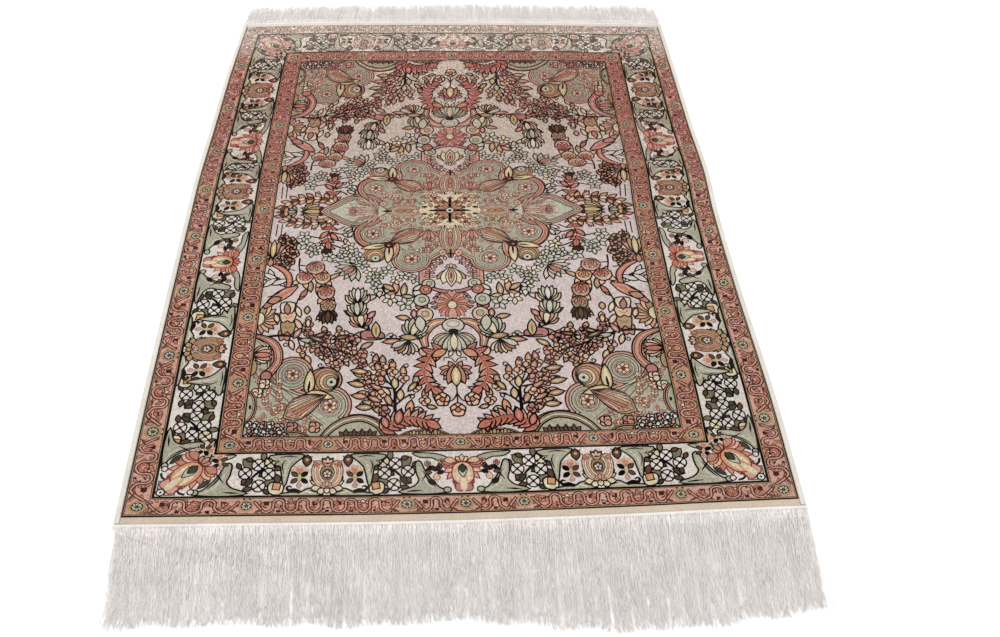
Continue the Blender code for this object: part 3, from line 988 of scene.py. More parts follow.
def edge_garland():
    """The chain of brown and salmon flowers by the long edge, with the tall leaves behind it."""
    motif = []
    for turn, dye in ((-34, "coral"), (34, "salmon"), (-16, "tan"), (16, "orange"), (0, "yellow")):
        motif += veined((316, 118, 180 + turn, 38, 9, dye, "cream"))
    motif += fan((318, 120), 0, 5, 60, 20, 8, "clay", 1.5, 1.2)
    chain = ((300, 76), (286, 82), (284, 98), (278, 110), (292, 116), (284, 130), (300, 136), (292, 146))
    for index, (x, y) in enumerate(chain):
        dye = ("salmon", "tan", "clay")[index % 3]
        motif += veined((x, y, 70 * index, 14, 6, "clay", "peach"))
        motif += place(rosette(9.4, 5, dye, "maroon", 0.3, 1.2), (x, y), 25 * index)
    for x in (306, 315):
        motif += part(ribbon([(x, 36), (x + 0.5, 70)], 2.2), "ink", 0)
    return motif + stalk([(298, 60), (304, 74), (312, 80)], 2.2, 1.4)


def wreath():
    """Leaves in a ring round a yellow bud, on the short axis."""
    ring = curve([(206, 12), (222, 30), (246, 36), (272, 34), (292, 28), (306, 14), (310, 0)])
    motif = []
    for index, (_, point, turn) in enumerate(stations(ring, 10)):
        for side in (-1, 1):
            dye = ("clay", "orange", "salmon", "coral")[(index + side) % 4]
            motif += place(vein_leaf(17, 8, dye, "peach", 1.6), point, turn - 50 * side)
        motif += leaf(point, turn, 12, 7, ("brown", "cream")[index % 2], 1.3, peak=1.1)
    motif += place(open_tulip(30, "orange", "cream", "salmon"), (244, 0), -90)
    motif += place(open_tulip(34, "tan", "yellow", "yellow"), (268, 0), 90)
    motif += fan((284, 0), -90, 5, 70, 15, 6, "sage", 1.5, 1.1)
    return motif + fan((238, 0), 90, 5, 80, 13, 6, "maroon", 1.0, 1.1)


def hanging_columns():
    """The hooded flowers and the stack of sage tulips between the medallion and the branch."""
    motif = stalk([(266, 120), (266, 140), (262, 164)], 2.4, 1.6)
    motif += stalks((((266, 138), (252, 140), (238, 134)), ((264, 150), (254, 158), (246, 162))), 2.0, 1.4)
    motif += stalk([(272, 152), (282, 150), (284, 146)])
    motif += veined(
        (214, 178, 128, 26, 8, "tan", "peach"), (228, 184, 0, 24, 7, "cream", "peach"),
        (246, 180, 14, 22, 10, "tan", "yellow"), (238, 156, 80, 22, 7, "peach", "cream"),
        (206, 240, 30, 22, 7, "peach", "cream"), (212, 240, -40, 22, 7, "peach", "cream"),
    )
    for x, y, turn, radius, hood, heart in (
        (236, 146, 20, 15, "blush", "clay"), (222, 173, 10, 12.5, "peach", "orange"),
        (254, 172, -20, 13.5, "peach", "coral"), (214, 204, 4, 13.5, "blush", "coral"),
        (209, 230, -2, 12, "tan", "clay"),
    ):
        motif += place(hooded_flower(radius, hood, heart), (x, y), turn)
    motif += place(open_tulip(24, "brown", "maroon", "brown"), (208, 242))
    motif += stalk([(142, 294), (138, 276), (146, 262), (152, 248), (158, 226), (160, 208)], 2.2, 1.4)
    motif += veined((140, 284, -66, 28, 8, "tan", "peach"), (140, 276, -118, 30, 8, "clay", "peach"))
    motif += leaf((142, 278), 196, 28, 10, "sage") + veined((156, 254, -118, 26, 9, "tan", "cream"))
    motif += place(open_tulip(30, "salmon", "peach", "cream"), (150, 272), 190)
    motif += veined((140, 256, 140, 16, 8, "rose", "peach"))
    motif += place(open_tulip(28, "sage", "cream", "mist"), (158, 250), 186)
    motif += veined((146, 226, 160, 17, 8, "peach", "cream"), (168, 226, 218, 18, 8, "peach", "cream"))
    motif += place(open_tulip(26, "mist", "cream", "ivory"), (159, 222), 180)
    cap = blob([(118, 298), (146, 298), (150, 286), (138, 282), (124, 284), (114, 290)])
    motif += part(cap, "rose") + veined((126, 296, 182, 30, 12, "yellow", "moss"))
    motif += tendrils((110, 294, 150), size=1.2)
    motif += fan((166, 146), -52, 7, 64, 34, 9, "mist", 1.6, 1.1)
    motif += fan((166, 146), -50, 3, 26, 24, 10, "blush", 1.3, 1.1)
    return motif + leaf((168, 148), -50, 15, 6, "clay", 0.8, peak=1.1)


def star_clusters():
    """The star flowers on dark stems round the medallion, and the coral leaf stem among them."""
    motif = stalks((
        ((214, 60), (196, 66), (182, 58)), ((214, 74), (196, 82), (182, 84)),
        ((212, 90), (194, 98), (182, 100)), ((216, 104), (204, 116), (190, 124)),
        ((222, 70), (238, 74), (252, 70)),
        ((220, 82), (236, 90), (248, 96)), ((184, 128), (166, 138), (146, 146)),
        ((60, 214), (86, 212), (112, 208)), ((112, 208), (118, 190), (128, 172)),
        ((112, 160), (122, 172), (130, 178)), ((56, 196), (66, 206), (60, 214)),
        ((176, 40), (176, 56), (184, 70)), ((190, 44), (200, 52), (212, 52)),
    ), 2.2, 1.5)
    motif += veined(
        (96, 208, 176, 26, 10, "orange", "peach"), (98, 200, 240, 20, 8, "tan", "peach"),
        (82, 212, 174, 24, 9, "tan", "cream"), (94, 206, -76, 20, 7, "rose", "peach"),
        (122, 214, 184, 24, 9, "cream", "ivory"), (128, 212, -70, 22, 8, "mist", "ivory"),
        (64, 200, 120, 17, 7, "mist", "ivory"), (66, 214, -95, 18, 6, "tan", "cream"),
        (190, 56, 120, 15, 6, "mist", "ivory"), (192, 66, 70, 15, 6, "mist", "ivory"),
        (188, 78, 20, 14, 6, "peach", "ivory"),
    )
    motif += tendrils((200, 72, 60), (252, 54, 160)) + veined((182, 72, 150, 14, 6, "mist", "ivory"))
    motif += tendrils((234, 104, 10), (196, 130, 300))
    for index, (x, y, size) in enumerate((
        (263, 70, 1.0), (258, 90, 1.05), (245, 106, 1.0), (215, 118, 1.1), (180, 94, 0.9), (170, 110, 1.0),
        (176, 124, 1.0), (154, 138, 1.0), (108, 152, 1.05), (138, 157, 1.05), (80, 166, 1.1), (62, 176, 0.9),
        (136, 178, 1.0), (79, 229, 1.1), (104, 219, 1.0), (231, 92, 0.85), (190, 112, 0.8), (122, 166, 0.9),
        (126, 196, 0.9), (94, 178, 0.85), (158, 118, 0.8),
    )):
        dye = ("mist", "mist", "sage", "mist", "cream")[index % 5]
        motif += place(star_flower(dye), (x, y), 31 * index, size)
    motif += acanthus([(216, 28), (217, 50), (220, 74), (216, 100)], 15, "coral", 5, "clay", 4.0)
    motif += veined((220, 60, -40, 20, 8, "coral", "salmon"), (214, 66, 40, 18, 8, "coral", "salmon"))
    return motif + fan((220, 100), 0, 3, 44, 12, 6, "maroon", 1.0, 1.1)


def field_quarter():
    """The field's right back quarter, from the ground up."""
    motif = part(block(-BLEED, -BLEED, FIELD_HALF[0] + BLEED, FIELD_HALF[1] + BLEED), "lilac", 0)
    motif += edge_garland() + star_clusters() + hanging_columns() + edge_motifs() + blossom_branch()
    motif += flowering_tree() + wreath() + spandrel() + bottom_sprays()
    return motif + vase_of_the_axis() + lantern_of_the_axis() + garland_of_the_axis() + medallion()


# ---------------------------------------------------------------- borders, the right half


class Strip:
    """One side of a border: s runs along it and t runs inwards from its outer edge."""

    def __init__(self, chart, origin, half, turn=0.0, back=False):
        self.chart, self.origin, self.half, self.turn, self.back = chart, origin, half, turn, back

    def put(self, motif, s, t, turn=0.0, size=1.0, flip=False):
        motif = place(place(motif, (s, t), turn, size, flip), self.origin, self.turn)
        self.chart += across_y(motif) if self.back else motif

    def line(self, low, high, dye):
        """A straight line between two distances from the outer edge, mitred at the corners."""
        self.put(part(block(low - self.half, low, self.half - low, high), dye, 0), 0, 0)


def strips(outer, ground):
    """A border's chart on its ground, and its side, front and back strips."""
    chart = part(block(-BLEED, -outer[1], *outer), ground, 0)
    side = Strip(chart, (outer[0], 0), outer[1], 90)
    front = Strip(chart, (0, -outer[1]), outer[0])
    return chart, side, front, Strip(chart, (0, -outer[1]), outer[0], back=True)


def lotus_half(strip, s, way):
    """What stands on one side of a lotus."""
    strip.put(arching_leaves() + dark_sprig(), s, 0, flip=way < 0)


def shield_half(strip, s, way):
    """What stands on one side of a shield."""
    strip.put(horn_leaves(), s, 0, flip=way < 0)
    strip.put(leaf_cross(), s + way * 40, 31)


def border_run(strip, stops, bunches):
    """Palmettes at their stops, each with its leaves on both sides, and bunches between them."""
    for s, way, size in bunches:
        strip.put(blossom_bunch(), s, 37, size=size, flip=way > 0)
        strip.put(cup(), s - way * 27 * size, 3, flip=way < 0)
    for s, palmette, dyes in stops:
        for way in (-1, 1):
            (lotus_half if palmette is lotus else shield_half)(strip, s, way)
        strip.put(palmette(*dyes), s, 3)


def corner_motifs(strip):
    """The diagonal palmette of a corner, with its sage leaves, dark blossoms and a small eye."""
    corner = BORDER_OUTER[0]
    leaves = place(arching_leaves(), (28, 0)) + place(leaf_cross(), (80, 57), 10, 0.8)
    leaves += part(block(14, 4, 26, 11), "sage", 0.9)
    leaves += stroke([(27, 16), (32, 7), (40, 4)], (3.4,), "ink")
    leaves += leaf((56, 14), -48, 19, 6, "pine", 1.0) + disc((47, 8), 3.4, 3.4, 9, "ivory", 1.2)
    strip.put(leaves, corner, 0, flip=True)
    strip.put(leaves, corner, 0, 90)
    palmette = lotus("orange", ("peach", "salmon", "clay"), "blush")
    strip.put(place(palmette, (0, 15), 0, (1.04, 1.26)), corner, 0, 45)
    eye = part(oval(4.6, points=8), "ivory", 1.4) + part(oval(1.8, points=6), "ink", 0)
    strip.put(eye, corner - 8, 8, 45)


def main_border():
    """The right half of the main border, and the hole that the field leaves in it."""
    chart, side, *ends = strips(BORDER_OUTER, "ivory")
    tan_shield = ("tan", ("tan", "clay", "tan", "blush", "tan"), "coral")
    side_stops = (
        (-315, shield, tan_shield),
        (-128, lotus, ("orange", ("salmon", "peach", "coral"))),
        (60, shield, tan_shield),
        (220, lotus, ("clay", ("peach", "tan", "salmon"), "coral")),
        (380, shield, tan_shield),
    )
    side_bunches = (
        (-452, 1, 0.95), (-400, -1, 0.95), (-222, 1, 1.0), (-33, -1, 1.0), (141, 1, 0.9),
        (300, -1, 0.9), (462, 1, 0.9),
    )
    border_run(side, side_stops, side_bunches)
    for end in ends:
        border_run(end, ((196, shield, ()), (0, lotus, ())), ((98, -1, 1.0), (296, 1, 1.0)))
        corner_motifs(end)
    for low, high in ((-1, 1.6), (BORDER - 1.6, BORDER + 1)):
        for strip in (side, *ends):
            strip.line(low, high, "ink")
    return chart + part(block(-BLEED, -BORDER_INNER[1], *BORDER_INNER), CUT, 0)


def pomegranate(dye):
    """A round fruit under its three-leaved crown."""
    motif = fan((0, 17), 0, 3, 42, 10, 5.6, "cream", 0.9) + disc((0, 14), 7.8, 7.2, 12, dye, 1.0)
    return motif + disc((-1, 16), 4.4, 3.0, 8, "blush", 0.4, "wine")


GUARD_LEAVES = (
    part(petal(8, 4, 1.1), "coral", 0.7, "maroon"), part(petal(9, 3.4, bend=2), "rose", 0.6, "maroon"),
    part(petal(7, 2.6), "maroon", 0), part(petal(9, 4, bend=-2), "clay", 0.7, "wine"),
)
GUARD_LINES = (
    (0.0, 1.8, "ink"), (1.8, 2.8, "tan"), (2.8, 3.7, "maroon"),
    (GUARD - 3.9, GUARD - 3.0, "maroon"), (GUARD - 3.0, GUARD - 2.0, "tan"), (GUARD - 2.0, GUARD, "ink"),
)


def guard_run(strip, start, end, pitch, fruit, ground):
    """Between two rosettes the stem winds in U-turns, each round a fruit or a dark square."""
    count = max(2, round((end - start - 22) / pitch))
    pitch = (end - start - 22) / count
    reach = 0.30 * pitch
    lows = start + 11 + pitch * (np.arange(count) + 0.5)
    stem = [(start + 11, 24), (start + 17, 16)]
    for index, low in enumerate(lows):
        strip.put(part(oval(reach + 2, 11, 10), ground, 0), low, 16)
        if count > 2 and index in (1, count - 2):
            strip.put(pomegranate(fruit), low, 0)
        else:
            strip.put(part(block(-3, -3, 3, 3), "maroon", 0.5), low, 21)
        if index:
            stem += [(low - reach, 24), (low - reach * 0.9, 12)]
            strip.put(part(block(-2.2, -1.6, 2.2, 1.6), "maroon", 0.4), low - pitch / 2, 7)
        stem += [(low - reach * 0.3, 6), (low + reach * 0.3, 6)]
        if index < count - 1:
            stem += [(low + reach * 0.9, 12), (low + reach, 24), (low + pitch / 2, 28)]
    stem += [(end - 17, 16), (end - 11, 24)]
    strip.put(sown((start + 14, 6, end - 12, 29), 8.5, GUARD_LEAVES, abs(round(end))), 0, 0)
    strip.put(part(ribbon(curve(stem, 4), 2.2), "salmon", 1.1, "maroon"), 0, 0)
    spray = leaf((11, 4), -58, 16, 4.0, "brown", 0, bend=2)
    spray += part(block(-1.6, -1.6, 1.6, 1.6) + (4, 29), "maroon", 0)
    strip.put(spray, start, 0)
    strip.put(spray, end, 0, flip=True)


def guard(outer, ground, stem_ground, fruit, pitch, end_stops, side_stops):
    """The right half of a guard stripe whose outer edge is the given half width and length."""
    chart, side, front, back = strips(outer, ground)
    guard_rosette = part(oval(11, 12, 10), "tan", 0) + part(oval(7.8, points=12), "ink", 0)
    guard_rosette += rosette(6.8, 8, "mist", "brown", 0.3, line=0.6)
    reach = outer[1] - GUARD / 2
    end_stops = (*end_stops, outer[0] - GUARD / 2)
    for strip, stops in ((front, end_stops), (back, end_stops), (side, (-reach, *side_stops, reach))):
        spans = list(zip(stops, stops[1:]))
        for start, end in spans if strip is side else [(-stops[1], 0)] + spans:
            guard_run(strip, start, end, pitch, fruit, stem_ground)
        for stop in stops:
            strip.put(guard_rosette, stop, GUARD / 2)
    for low, high, dye in GUARD_LINES:
        for strip in (side, front, back):
            strip.line(low, high, dye)
    return chart + part(block(-BLEED, -(outer[1] - GUARD), outer[0] - GUARD, outer[1] - GUARD), CUT, 0)


def design_pieces():
    """Each knotted piece's name, shapes, outer half sizes, whether its ends are alike, and its fading."""
    whole = (PILE_HALF_WIDTH, PILE_HALF_LENGTH)
    outer_stops = (-460, -326, -196, -66, 66, 196, 326, 460)
    outer = guard(whole, "blush", "salmon", "coral", 34, (0, 83, 308), outer_stops)
    inner_stops = (-380, -252, -121, 10, 141, 268)
    inner = guard(BORDER_INNER, "clay", "salmon", "orange", 29, (0, 196), inner_stops)
    yield "outer_guard_pile", outer, whole, False, 0.80
    yield "main_border_pile", main_border(), BORDER_OUTER, False, 0.45
    yield "inner_guard_pile", inner, BORDER_INNER, False, 0.15
    yield "field_pile", field_quarter(), FIELD_HALF, True, 0.0


# ---------------------------------------------------------------- the woven shape


def cad_points(name):
    """The places (x, y) of a CAD piece's corners, in metres."""
    return np.array([vertex.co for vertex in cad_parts[name].data.vertices], float)[:, :2]


# A corner is on an edge when it lies beyond this share of the way there from the middle.
EDGE_SHARE = 0.95


def cad_edges(name):
    """The left, right, front and back edges of a CAD piece, each as points in order."""
    corners = np.unique(cad_points(name).round(6), axis=0)
    middle = (corners.min(axis=0) + corners.max(axis=0)) / 2
    half = (corners.max(axis=0) - corners.min(axis=0)) / 2
    edges = []
    for axis in (0, 1):
        for side in (-1, 1):
            edge = corners[(corners[:, axis] - middle[axis]) * side > EDGE_SHARE * half[axis]]
            edges.append(edge[np.argsort(edge[:, 1 - axis])])
    return edges


LEFT, RIGHT, FRONT, BACK = cad_edges("pile")
PILE_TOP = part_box("pile")[1].z
PILE_MIDDLE = np.array([LEFT[0], LEFT[-1], RIGHT[0], RIGHT[-1]]).mean(axis=0)

# Where the weaver's beat and tension put each line of the design, in mm from the middle.
BEAT_DESIGN = (0, 64, 124, 180, 234, 362, 470, 504, 576, 610)
BEAT_FRONT = (6, 62, 127, 176, 236, 368, 483, 511, 581, 610)
BEAT_BACK = (-6, 57, 110, 152, 211, 344, 467, 502, 574, 610)
TENSION_DESIGN = (0, 325, 359, 431, 465)
TENSION_FRONT = (0, 316, 352, 427, 465)
TENSION_BACK = (0, 325, 362, 433, 465)
# The field's middle lies this far along X from the pile's own, in mm.
AXIS_SHIFT = -11.0


def edge_value(edge, share, axis):
    """The place of an edge at a share of the way along it, from its front or left corner."""
    run = edge[:, 1 - axis]
    return np.interp(share, (run - run[0]) / (run[-1] - run[0]), edge[:, axis])


def woven(points):
    """Design points, in mm, as they lie in the rug, in metres."""
    x, y = points[:, 0], points[:, 1]
    back_share = (y / PILE_HALF_LENGTH + 1) / 2
    front_x = np.interp(np.abs(x), TENSION_DESIGN, TENSION_FRONT)
    back_x = np.interp(np.abs(x), TENSION_DESIGN, TENSION_BACK)
    x = np.sign(x) * (front_x + (back_x - front_x) * back_share)
    # The shift fades out towards the field's long edges and the pile's ends.
    inside = np.clip(1 - (x / FIELD_HALF[0]) ** 2, 0, 1) * np.clip(1 - (y / PILE_HALF_LENGTH) ** 4, 0, 1)
    x = x + AXIS_SHIFT * inside
    front_y = np.interp(np.abs(y), BEAT_DESIGN, BEAT_FRONT)
    back_y = np.interp(np.abs(y), BEAT_DESIGN, BEAT_BACK)
    y = np.where(y < 0, -front_y, back_y)
    across = (x / PILE_HALF_WIDTH + 1) / 2
    along = (y / PILE_HALF_LENGTH + 1) / 2
    left, right = edge_value(LEFT, along, 0), edge_value(RIGHT, along, 0)
    front, back = edge_value(FRONT, across, 1), edge_value(BACK, across, 1)
    return np.stack([left + (right - left) * across, front + (back - front) * along], axis=1)


# Soft ripples in the cloth, each with its height, its waves per metre along X and Y, and its start.
RIPPLES = (
    (0.00045, 1.3, 4.1, 0.4), (0.00035, 4.6, 1.7, 2.1), (0.00022, 7.7, 6.1, 1.0), (0.0001, 17.0, 13.0, 3.0),
)
# Over the last of the pile, this wide, its surface rolls down by this much. Both are in metres.
EDGE_ROLL = 0.003
EDGE_DROP = 0.0012


def ripple(x, y):
    """The height of all the ripples together."""
    height = 0
    for size, waves_x, waves_y, start in RIPPLES:
        height = height + size * np.sin(2 * math.pi * (waves_x * x + waves_y * y) + start)
    return height


def smoothstep(value):
    """0 up to 0 and 1 from 1 on, with a soft rise between them."""
    value = np.clip(value, 0, 1)
    return value * value * (3 - 2 * value)


def pile_height(design, lies):
    """The pile's surface at design points and the places where they lie."""
    inset = np.minimum(PILE_HALF_WIDTH - np.abs(design[:, 0]), PILE_HALF_LENGTH - np.abs(design[:, 1])) * MM
    roll = smoothstep(inset / EDGE_ROLL)
    return PILE_TOP + ripple(*lies.T) * roll - EDGE_DROP * (1 - roll)


# ---------------------------------------------------------------- cutting the design into a mesh

# The loose grid between the lines, the distance within which points merge, and how far off a
# straight run a point may lie and still be left out. All are in mm.
GRID = 14.0
MERGE = 0.02
STRAIGHT = 0.12


def linear(colour):
    """8-bit sRGB as linear light."""
    value = np.array(colour, float) / 255
    return np.where(value <= 0.04045, value / 12.92, ((value + 0.055) / 1.055) ** 2.4)


def new_object(name, vertices, faces, colours=None):
    """A mesh piece, with a colour for each face where they are given."""
    mesh = bpy.data.meshes.new(name)
    mesh.from_pydata([tuple(vertex) for vertex in vertices], [], [tuple(face) for face in faces])
    if colours is not None:
        layer = mesh.color_attributes.new("dye", "FLOAT_COLOR", "CORNER")
        counts = np.array([len(face) for face in faces])
        rgba = np.concatenate([colours, np.ones((len(colours), 1))], axis=1)
        layer.data.foreach_set("color", np.repeat(rgba, counts, axis=0).astype(np.float32).ravel())
    mesh.polygons.foreach_set("use_smooth", np.ones(len(mesh.polygons), bool))
    mesh.validate()
    piece = bpy.data.objects.new(name, mesh)
    bpy.context.scene.collection.objects.link(piece)
    return piece


def stepped(points):
    """The outline with its long edges cut short enough to bend with the weave."""
    after = np.roll(points, -1, axis=0)
    steps = np.ceil(np.linalg.norm(after - points, axis=1) / GRID).astype(int).clip(1)
    return np.concatenate([a + (b - a) * np.arange(n)[:, None] / n for a, b, n in zip(points, after, steps)])


def triangle_edges(triangles):
    """Every triangle's three edges, and the number of the triangle that each one belongs to."""
    edges = np.concatenate([triangles[:, [0, 1]], triangles[:, [1, 2]], triangles[:, [2, 0]]])
    return edges, np.tile(np.arange(len(triangles)), 3)


def seams_between(triangles, dye_index):
    """The edges between triangles of different dyes, and those on the open rim."""
    edges, owner = triangle_edges(triangles)
    edges = np.sort(edges, axis=1)
    order = np.lexsort((edges[:, 1], edges[:, 0]))
    edges, dye = edges[order], dye_index[owner[order]]
    same_as_next = (edges[:-1] == edges[1:]).all(axis=1)
    shared = np.concatenate([same_as_next, [False]]) | np.concatenate([[False], same_as_next])
    twins = np.flatnonzero(same_as_next)
    twins = twins[dye[twins] != dye[twins + 1]]
    return np.concatenate([edges[twins], edges[~shared]])


def straightened(points, edges):
    """The same lines with fewer points: one that lies on a nearly straight run is left out."""
    after = {}
    for a, b in edges.tolist():
        after.setdefault(a, set()).add(b)
        after.setdefault(b, set()).add(a)
    for vertex in list(after):
        if len(after[vertex]) != 2:
            continue
        a, b = after[vertex]
        chord = points[b] - points[a]
        length = np.hypot(*chord)
        offset = points[vertex] - points[a]
        if b in after[a] or length > GRID or length < MERGE:
            continue
        if abs(chord[0] * offset[1] - chord[1] * offset[0]) / length < STRAIGHT:
            del after[vertex]
            after[a] ^= {vertex, b}
            after[b] ^= {vertex, a}
    kept = {vertex: index for index, vertex in enumerate(after)}
    edges = [(kept[a], kept[b]) for a in after for b in after[a] if a < b]
    return points[list(after)], edges


def cut_shapes(motif, low_y, half):
    """The motif's shapes cut into triangles: points, triangles, and the dye on top of each one."""
    outlines, dyes = [], []
    for points, dye, line, edge in motif:
        if line:
            outlines.append(stepped(grown(points, line)))
            dyes.append(edge)
        outlines.append(stepped(outward(points)))
        dyes.append(dye)
    # Only what lies inside the last outline, the piece's own half or quarter, is kept.
    outlines.append(stepped(outward(block(0, low_y, half[0], half[1]))))
    sheet = len(outlines) - 1
    coords = [Vector(p) for outline in outlines for p in outline]
    starts = np.cumsum([0] + [len(outline) for outline in outlines])
    faces = [list(range(a, b)) for a, b in zip(starts, starts[1:])]
    vertices, _, triangles, _, _, sources = delaunay_2d_cdt(coords, [], faces, 1, MERGE, True)
    kept, dye_index = [], []
    for triangle, source in zip(triangles, sources):
        top = max((face for face in source if face != sheet), default=-1)
        if sheet in source and top >= 0 and dyes[top] != CUT:
            kept.append(triangle)
            dye_index.append(DYE_NAMES.index(dyes[top]))
    return np.array([tuple(v) for v in vertices]), kept, np.array(dye_index)


def simplified(points, triangles, dye_index, low_y, half):
    """The same areas of dye in fewer triangles: only the lines where the dye changes are kept,
    with a loose grid that lets the cloth ripple."""
    lookup = BVHTree.FromPolygons([(x, y, 0) for x, y in points], triangles)
    points, edges = straightened(points, seams_between(np.array(triangles), dye_index))
    grid = np.meshgrid(np.arange(GRID / 2, half[0], GRID), np.arange(low_y + GRID / 2, half[1], GRID))
    coords = [Vector(p) for p in points] + [Vector(p) for p in zip(*(axis.ravel() for axis in grid))]
    vertices, _, triangles, _, _, _ = delaunay_2d_cdt(coords, edges, [], 0, MERGE, False)
    points = np.array([tuple(v) for v in vertices])
    kept, new_index = [], []
    for triangle, (x, y) in zip(triangles, points[np.array(triangles)].mean(axis=1)):
        under = lookup.ray_cast(Vector((x, y, 1.0)), Vector((0, 0, -1.0)))[2]
        if under is not None:
            kept.append(triangle)
            new_index.append(dye_index[under])
    return points, np.array(kept), np.array(new_index)


def cut_design(motif, half, ends_alike):
    """The right half of a piece, or its quarter where its ends are alike, cut and then mirrored."""
    low_y = 0.0 if ends_alike else -half[1]
    points, triangles, dye_index = simplified(*cut_shapes(motif, low_y, half), low_y, half)
    for mirror in ((-1, 1), (1, -1)) if ends_alike else ((-1, 1),):
        triangles = np.concatenate([triangles, triangles[:, ::-1] + len(points)])
        points = np.concatenate([points, points * mirror])
        dye_index = np.concatenate([dye_index, dye_index])
    points, index = np.unique((points / MERGE).round().astype(int), axis=0, return_inverse=True)
    triangles = index.reshape(-1)[triangles]
    solid = (triangles != np.roll(triangles, 1, axis=1)).all(axis=1)
    return points * MERGE, triangles[solid], dye_index[solid]


# ---------------------------------------------------------------- the knotted pieces

# How far the skirt hangs from a piece's open edge, so that no gap shows where two pieces meet.
SKIRT = 0.0009
# The back half's colours, with their painted nap shade, take over from this far along Y, over this far. In
# metres.
NAP_SHADE_FROM = -0.10
NAP_SHADE_OVER = 0.45
# Along the back end the silk has faded: from this far back, over this far, to this sRGB.
FADE_FROM = 0.50
FADE_OVER = 0.08
FADED_SILK = (206, 193, 180)


def silk_colours(dye_index, y, fade):
    """Each face's colour, from its dye, its place along the rug, where the back half brings in painted nap
    shade, and how much its piece has faded.
    """
    front, back = (np.array([linear(DYES_AND_NAP_SHADE[dye][half]) for dye in DYE_NAMES]) for half in (0, 1))
    # Towards the back the colours blend into the back half's, which carry painted nap shade.
    share = smoothstep((y - NAP_SHADE_FROM) / NAP_SHADE_OVER)[:, None]
    colours = front[dye_index] * (1 - share) + back[dye_index] * share
    faded = smoothstep((y - FADE_FROM) / FADE_OVER)[:, None] * fade
    # The dark dyes have held better than the pale ones.
    faded = faded * np.clip(0.25 + 2.5 * colours.mean(axis=1, keepdims=True), 0, 1)
    return colours * (1 - faded) + linear(FADED_SILK) * faded


def knotted_piece(name, motif, half, ends_alike, fade):
    """One piece of the pile: its design cut, laid as woven and dyed, with a skirt round its rim."""
    design, triangles, dye_index = cut_design(motif, half, ends_alike)
    lies = woven(design)
    vertices = np.column_stack([lies, pile_height(design, lies)])
    colours = silk_colours(dye_index, lies[triangles, 1].mean(axis=1), fade)
    edges, owner = triangle_edges(triangles)
    _, first, count = np.unique(np.sort(edges, axis=1), axis=0, return_index=True, return_counts=True)
    rim, rim_owner = edges[first[count == 1]], owner[first[count == 1]]
    low = np.unique(rim)
    below = dict(zip(low.tolist(), range(len(vertices), len(vertices) + len(low))))
    skirt = [(b, a, below[a], below[b]) for a, b in rim.tolist()]
    vertices = np.concatenate([vertices, vertices[low] - (0, 0, SKIRT)])
    colours = np.concatenate([colours, colours[rim_owner]])
    return new_object(name, vertices, triangles.tolist() + skirt, colours)


# How far the foundation's top lies under the pile's surface, and how high its underside is.
FOUNDATION_DROP = 0.0008
UNDERSIDE = 0.0001
FOUNDATION_GRID = (44, 56)


def foundation():
    """The knotted sheet's body under the pile: closed, with its rippled top just below the pile."""
    columns, rows = FOUNDATION_GRID
    x, y = np.meshgrid(
        np.linspace(-PILE_HALF_WIDTH, PILE_HALF_WIDTH, columns),
        np.linspace(-PILE_HALF_LENGTH, PILE_HALF_LENGTH, rows),
    )
    design = np.stack([x.ravel(), y.ravel()], axis=1)
    lies = woven(design)
    top = np.column_stack([lies, pile_height(design, lies) - FOUNDATION_DROP])
    bottom = np.column_stack([lies, np.full(len(lies), UNDERSIDE)])
    number = np.arange(columns * rows).reshape(rows, columns)
    faces = []
    for a in number[:-1, :-1].ravel().tolist():
        quad = (a, a + 1, a + columns + 1, a + columns)
        faces += [quad, tuple(len(lies) + k for k in quad[::-1])]
    rim = [*number[0], *number[1:, -1], *number[-1, -2::-1], *number[-2:0:-1, 0]]
    for a, b in zip(rim, rim[1:] + rim[:1]):
        faces.append((b, a, len(lies) + a, len(lies) + b))
    knots_back = np.tile(linear(DYES_AND_NAP_SHADE["blush"][0]), (len(faces), 1))
    return new_object("foundation", np.concatenate([top, bottom]), faces, knots_back)


# ---------------------------------------------------------------- cords, bands and headings

# Corners that lie this near along a strip belong to the same station, in metres.
SAME_STATION = 2e-5


def strip_edges(name, axis):
    """A narrow CAD strip: stations along its axis, and its low and high edge at each of them."""
    corners = cad_points(name)
    at = np.unique(corners[:, axis].round(5))
    rows = [corners[np.abs(corners[:, axis] - station) < SAME_STATION, 1 - axis] for station in at]
    return at, np.array([row.min() for row in rows]), np.array([row.max() for row in rows])


def laid_strip(name, axis, pitch, steps, section, thickness, overlap=0.0):
    """A strip swept along a CAD strip, in so many steps to each pitch of its yarn. section(index,
    steps) gives the ring at a step, as (across, height) shares of the strip's width and thickness."""
    at, low, high = strip_edges(name, axis)
    count = int((at[-1] - at[0]) / pitch)
    along = np.linspace(at[0], at[-1], count * steps + 1)
    low_edge, high_edge = np.interp(along, at, low - overlap), np.interp(along, at, high + overlap)
    vertices = []
    for index, (run, near, far) in enumerate(zip(along, low_edge, high_edge)):
        ring = section(index, steps)
        for across, height in ring:
            side = (near + far) / 2 + (far - near) / 2 * across
            lies = (side, run) if axis == 1 else (run, side)
            vertices.append((*lies, thickness * height))
    size = len(ring)
    last = (len(along) - 1) * size
    faces = []
    for start in range(0, last, size):
        for k in range(size):
            a, b = start + k, start + (k + 1) % size
            faces.append((a, b, b + size, a + size) if axis == 1 else (a, a + size, b + size, b))
    caps = [tuple(range(size))[::-1], tuple(range(last, last + size))]
    faces += caps if axis == 1 else [cap[::-1] for cap in caps]
    return new_object(name.replace("_", "") + "_yarn", vertices, faces)


def round_section(swell, shift, sides):
    """A round ring of (across, height) shares, swollen or slim, and shifted across its strip."""
    turns = np.linspace(0, 2 * math.pi, sides, endpoint=False)
    return [(swell * math.cos(t) + shift, 0.5 + 0.5 * swell * math.sin(t)) for t in turns]


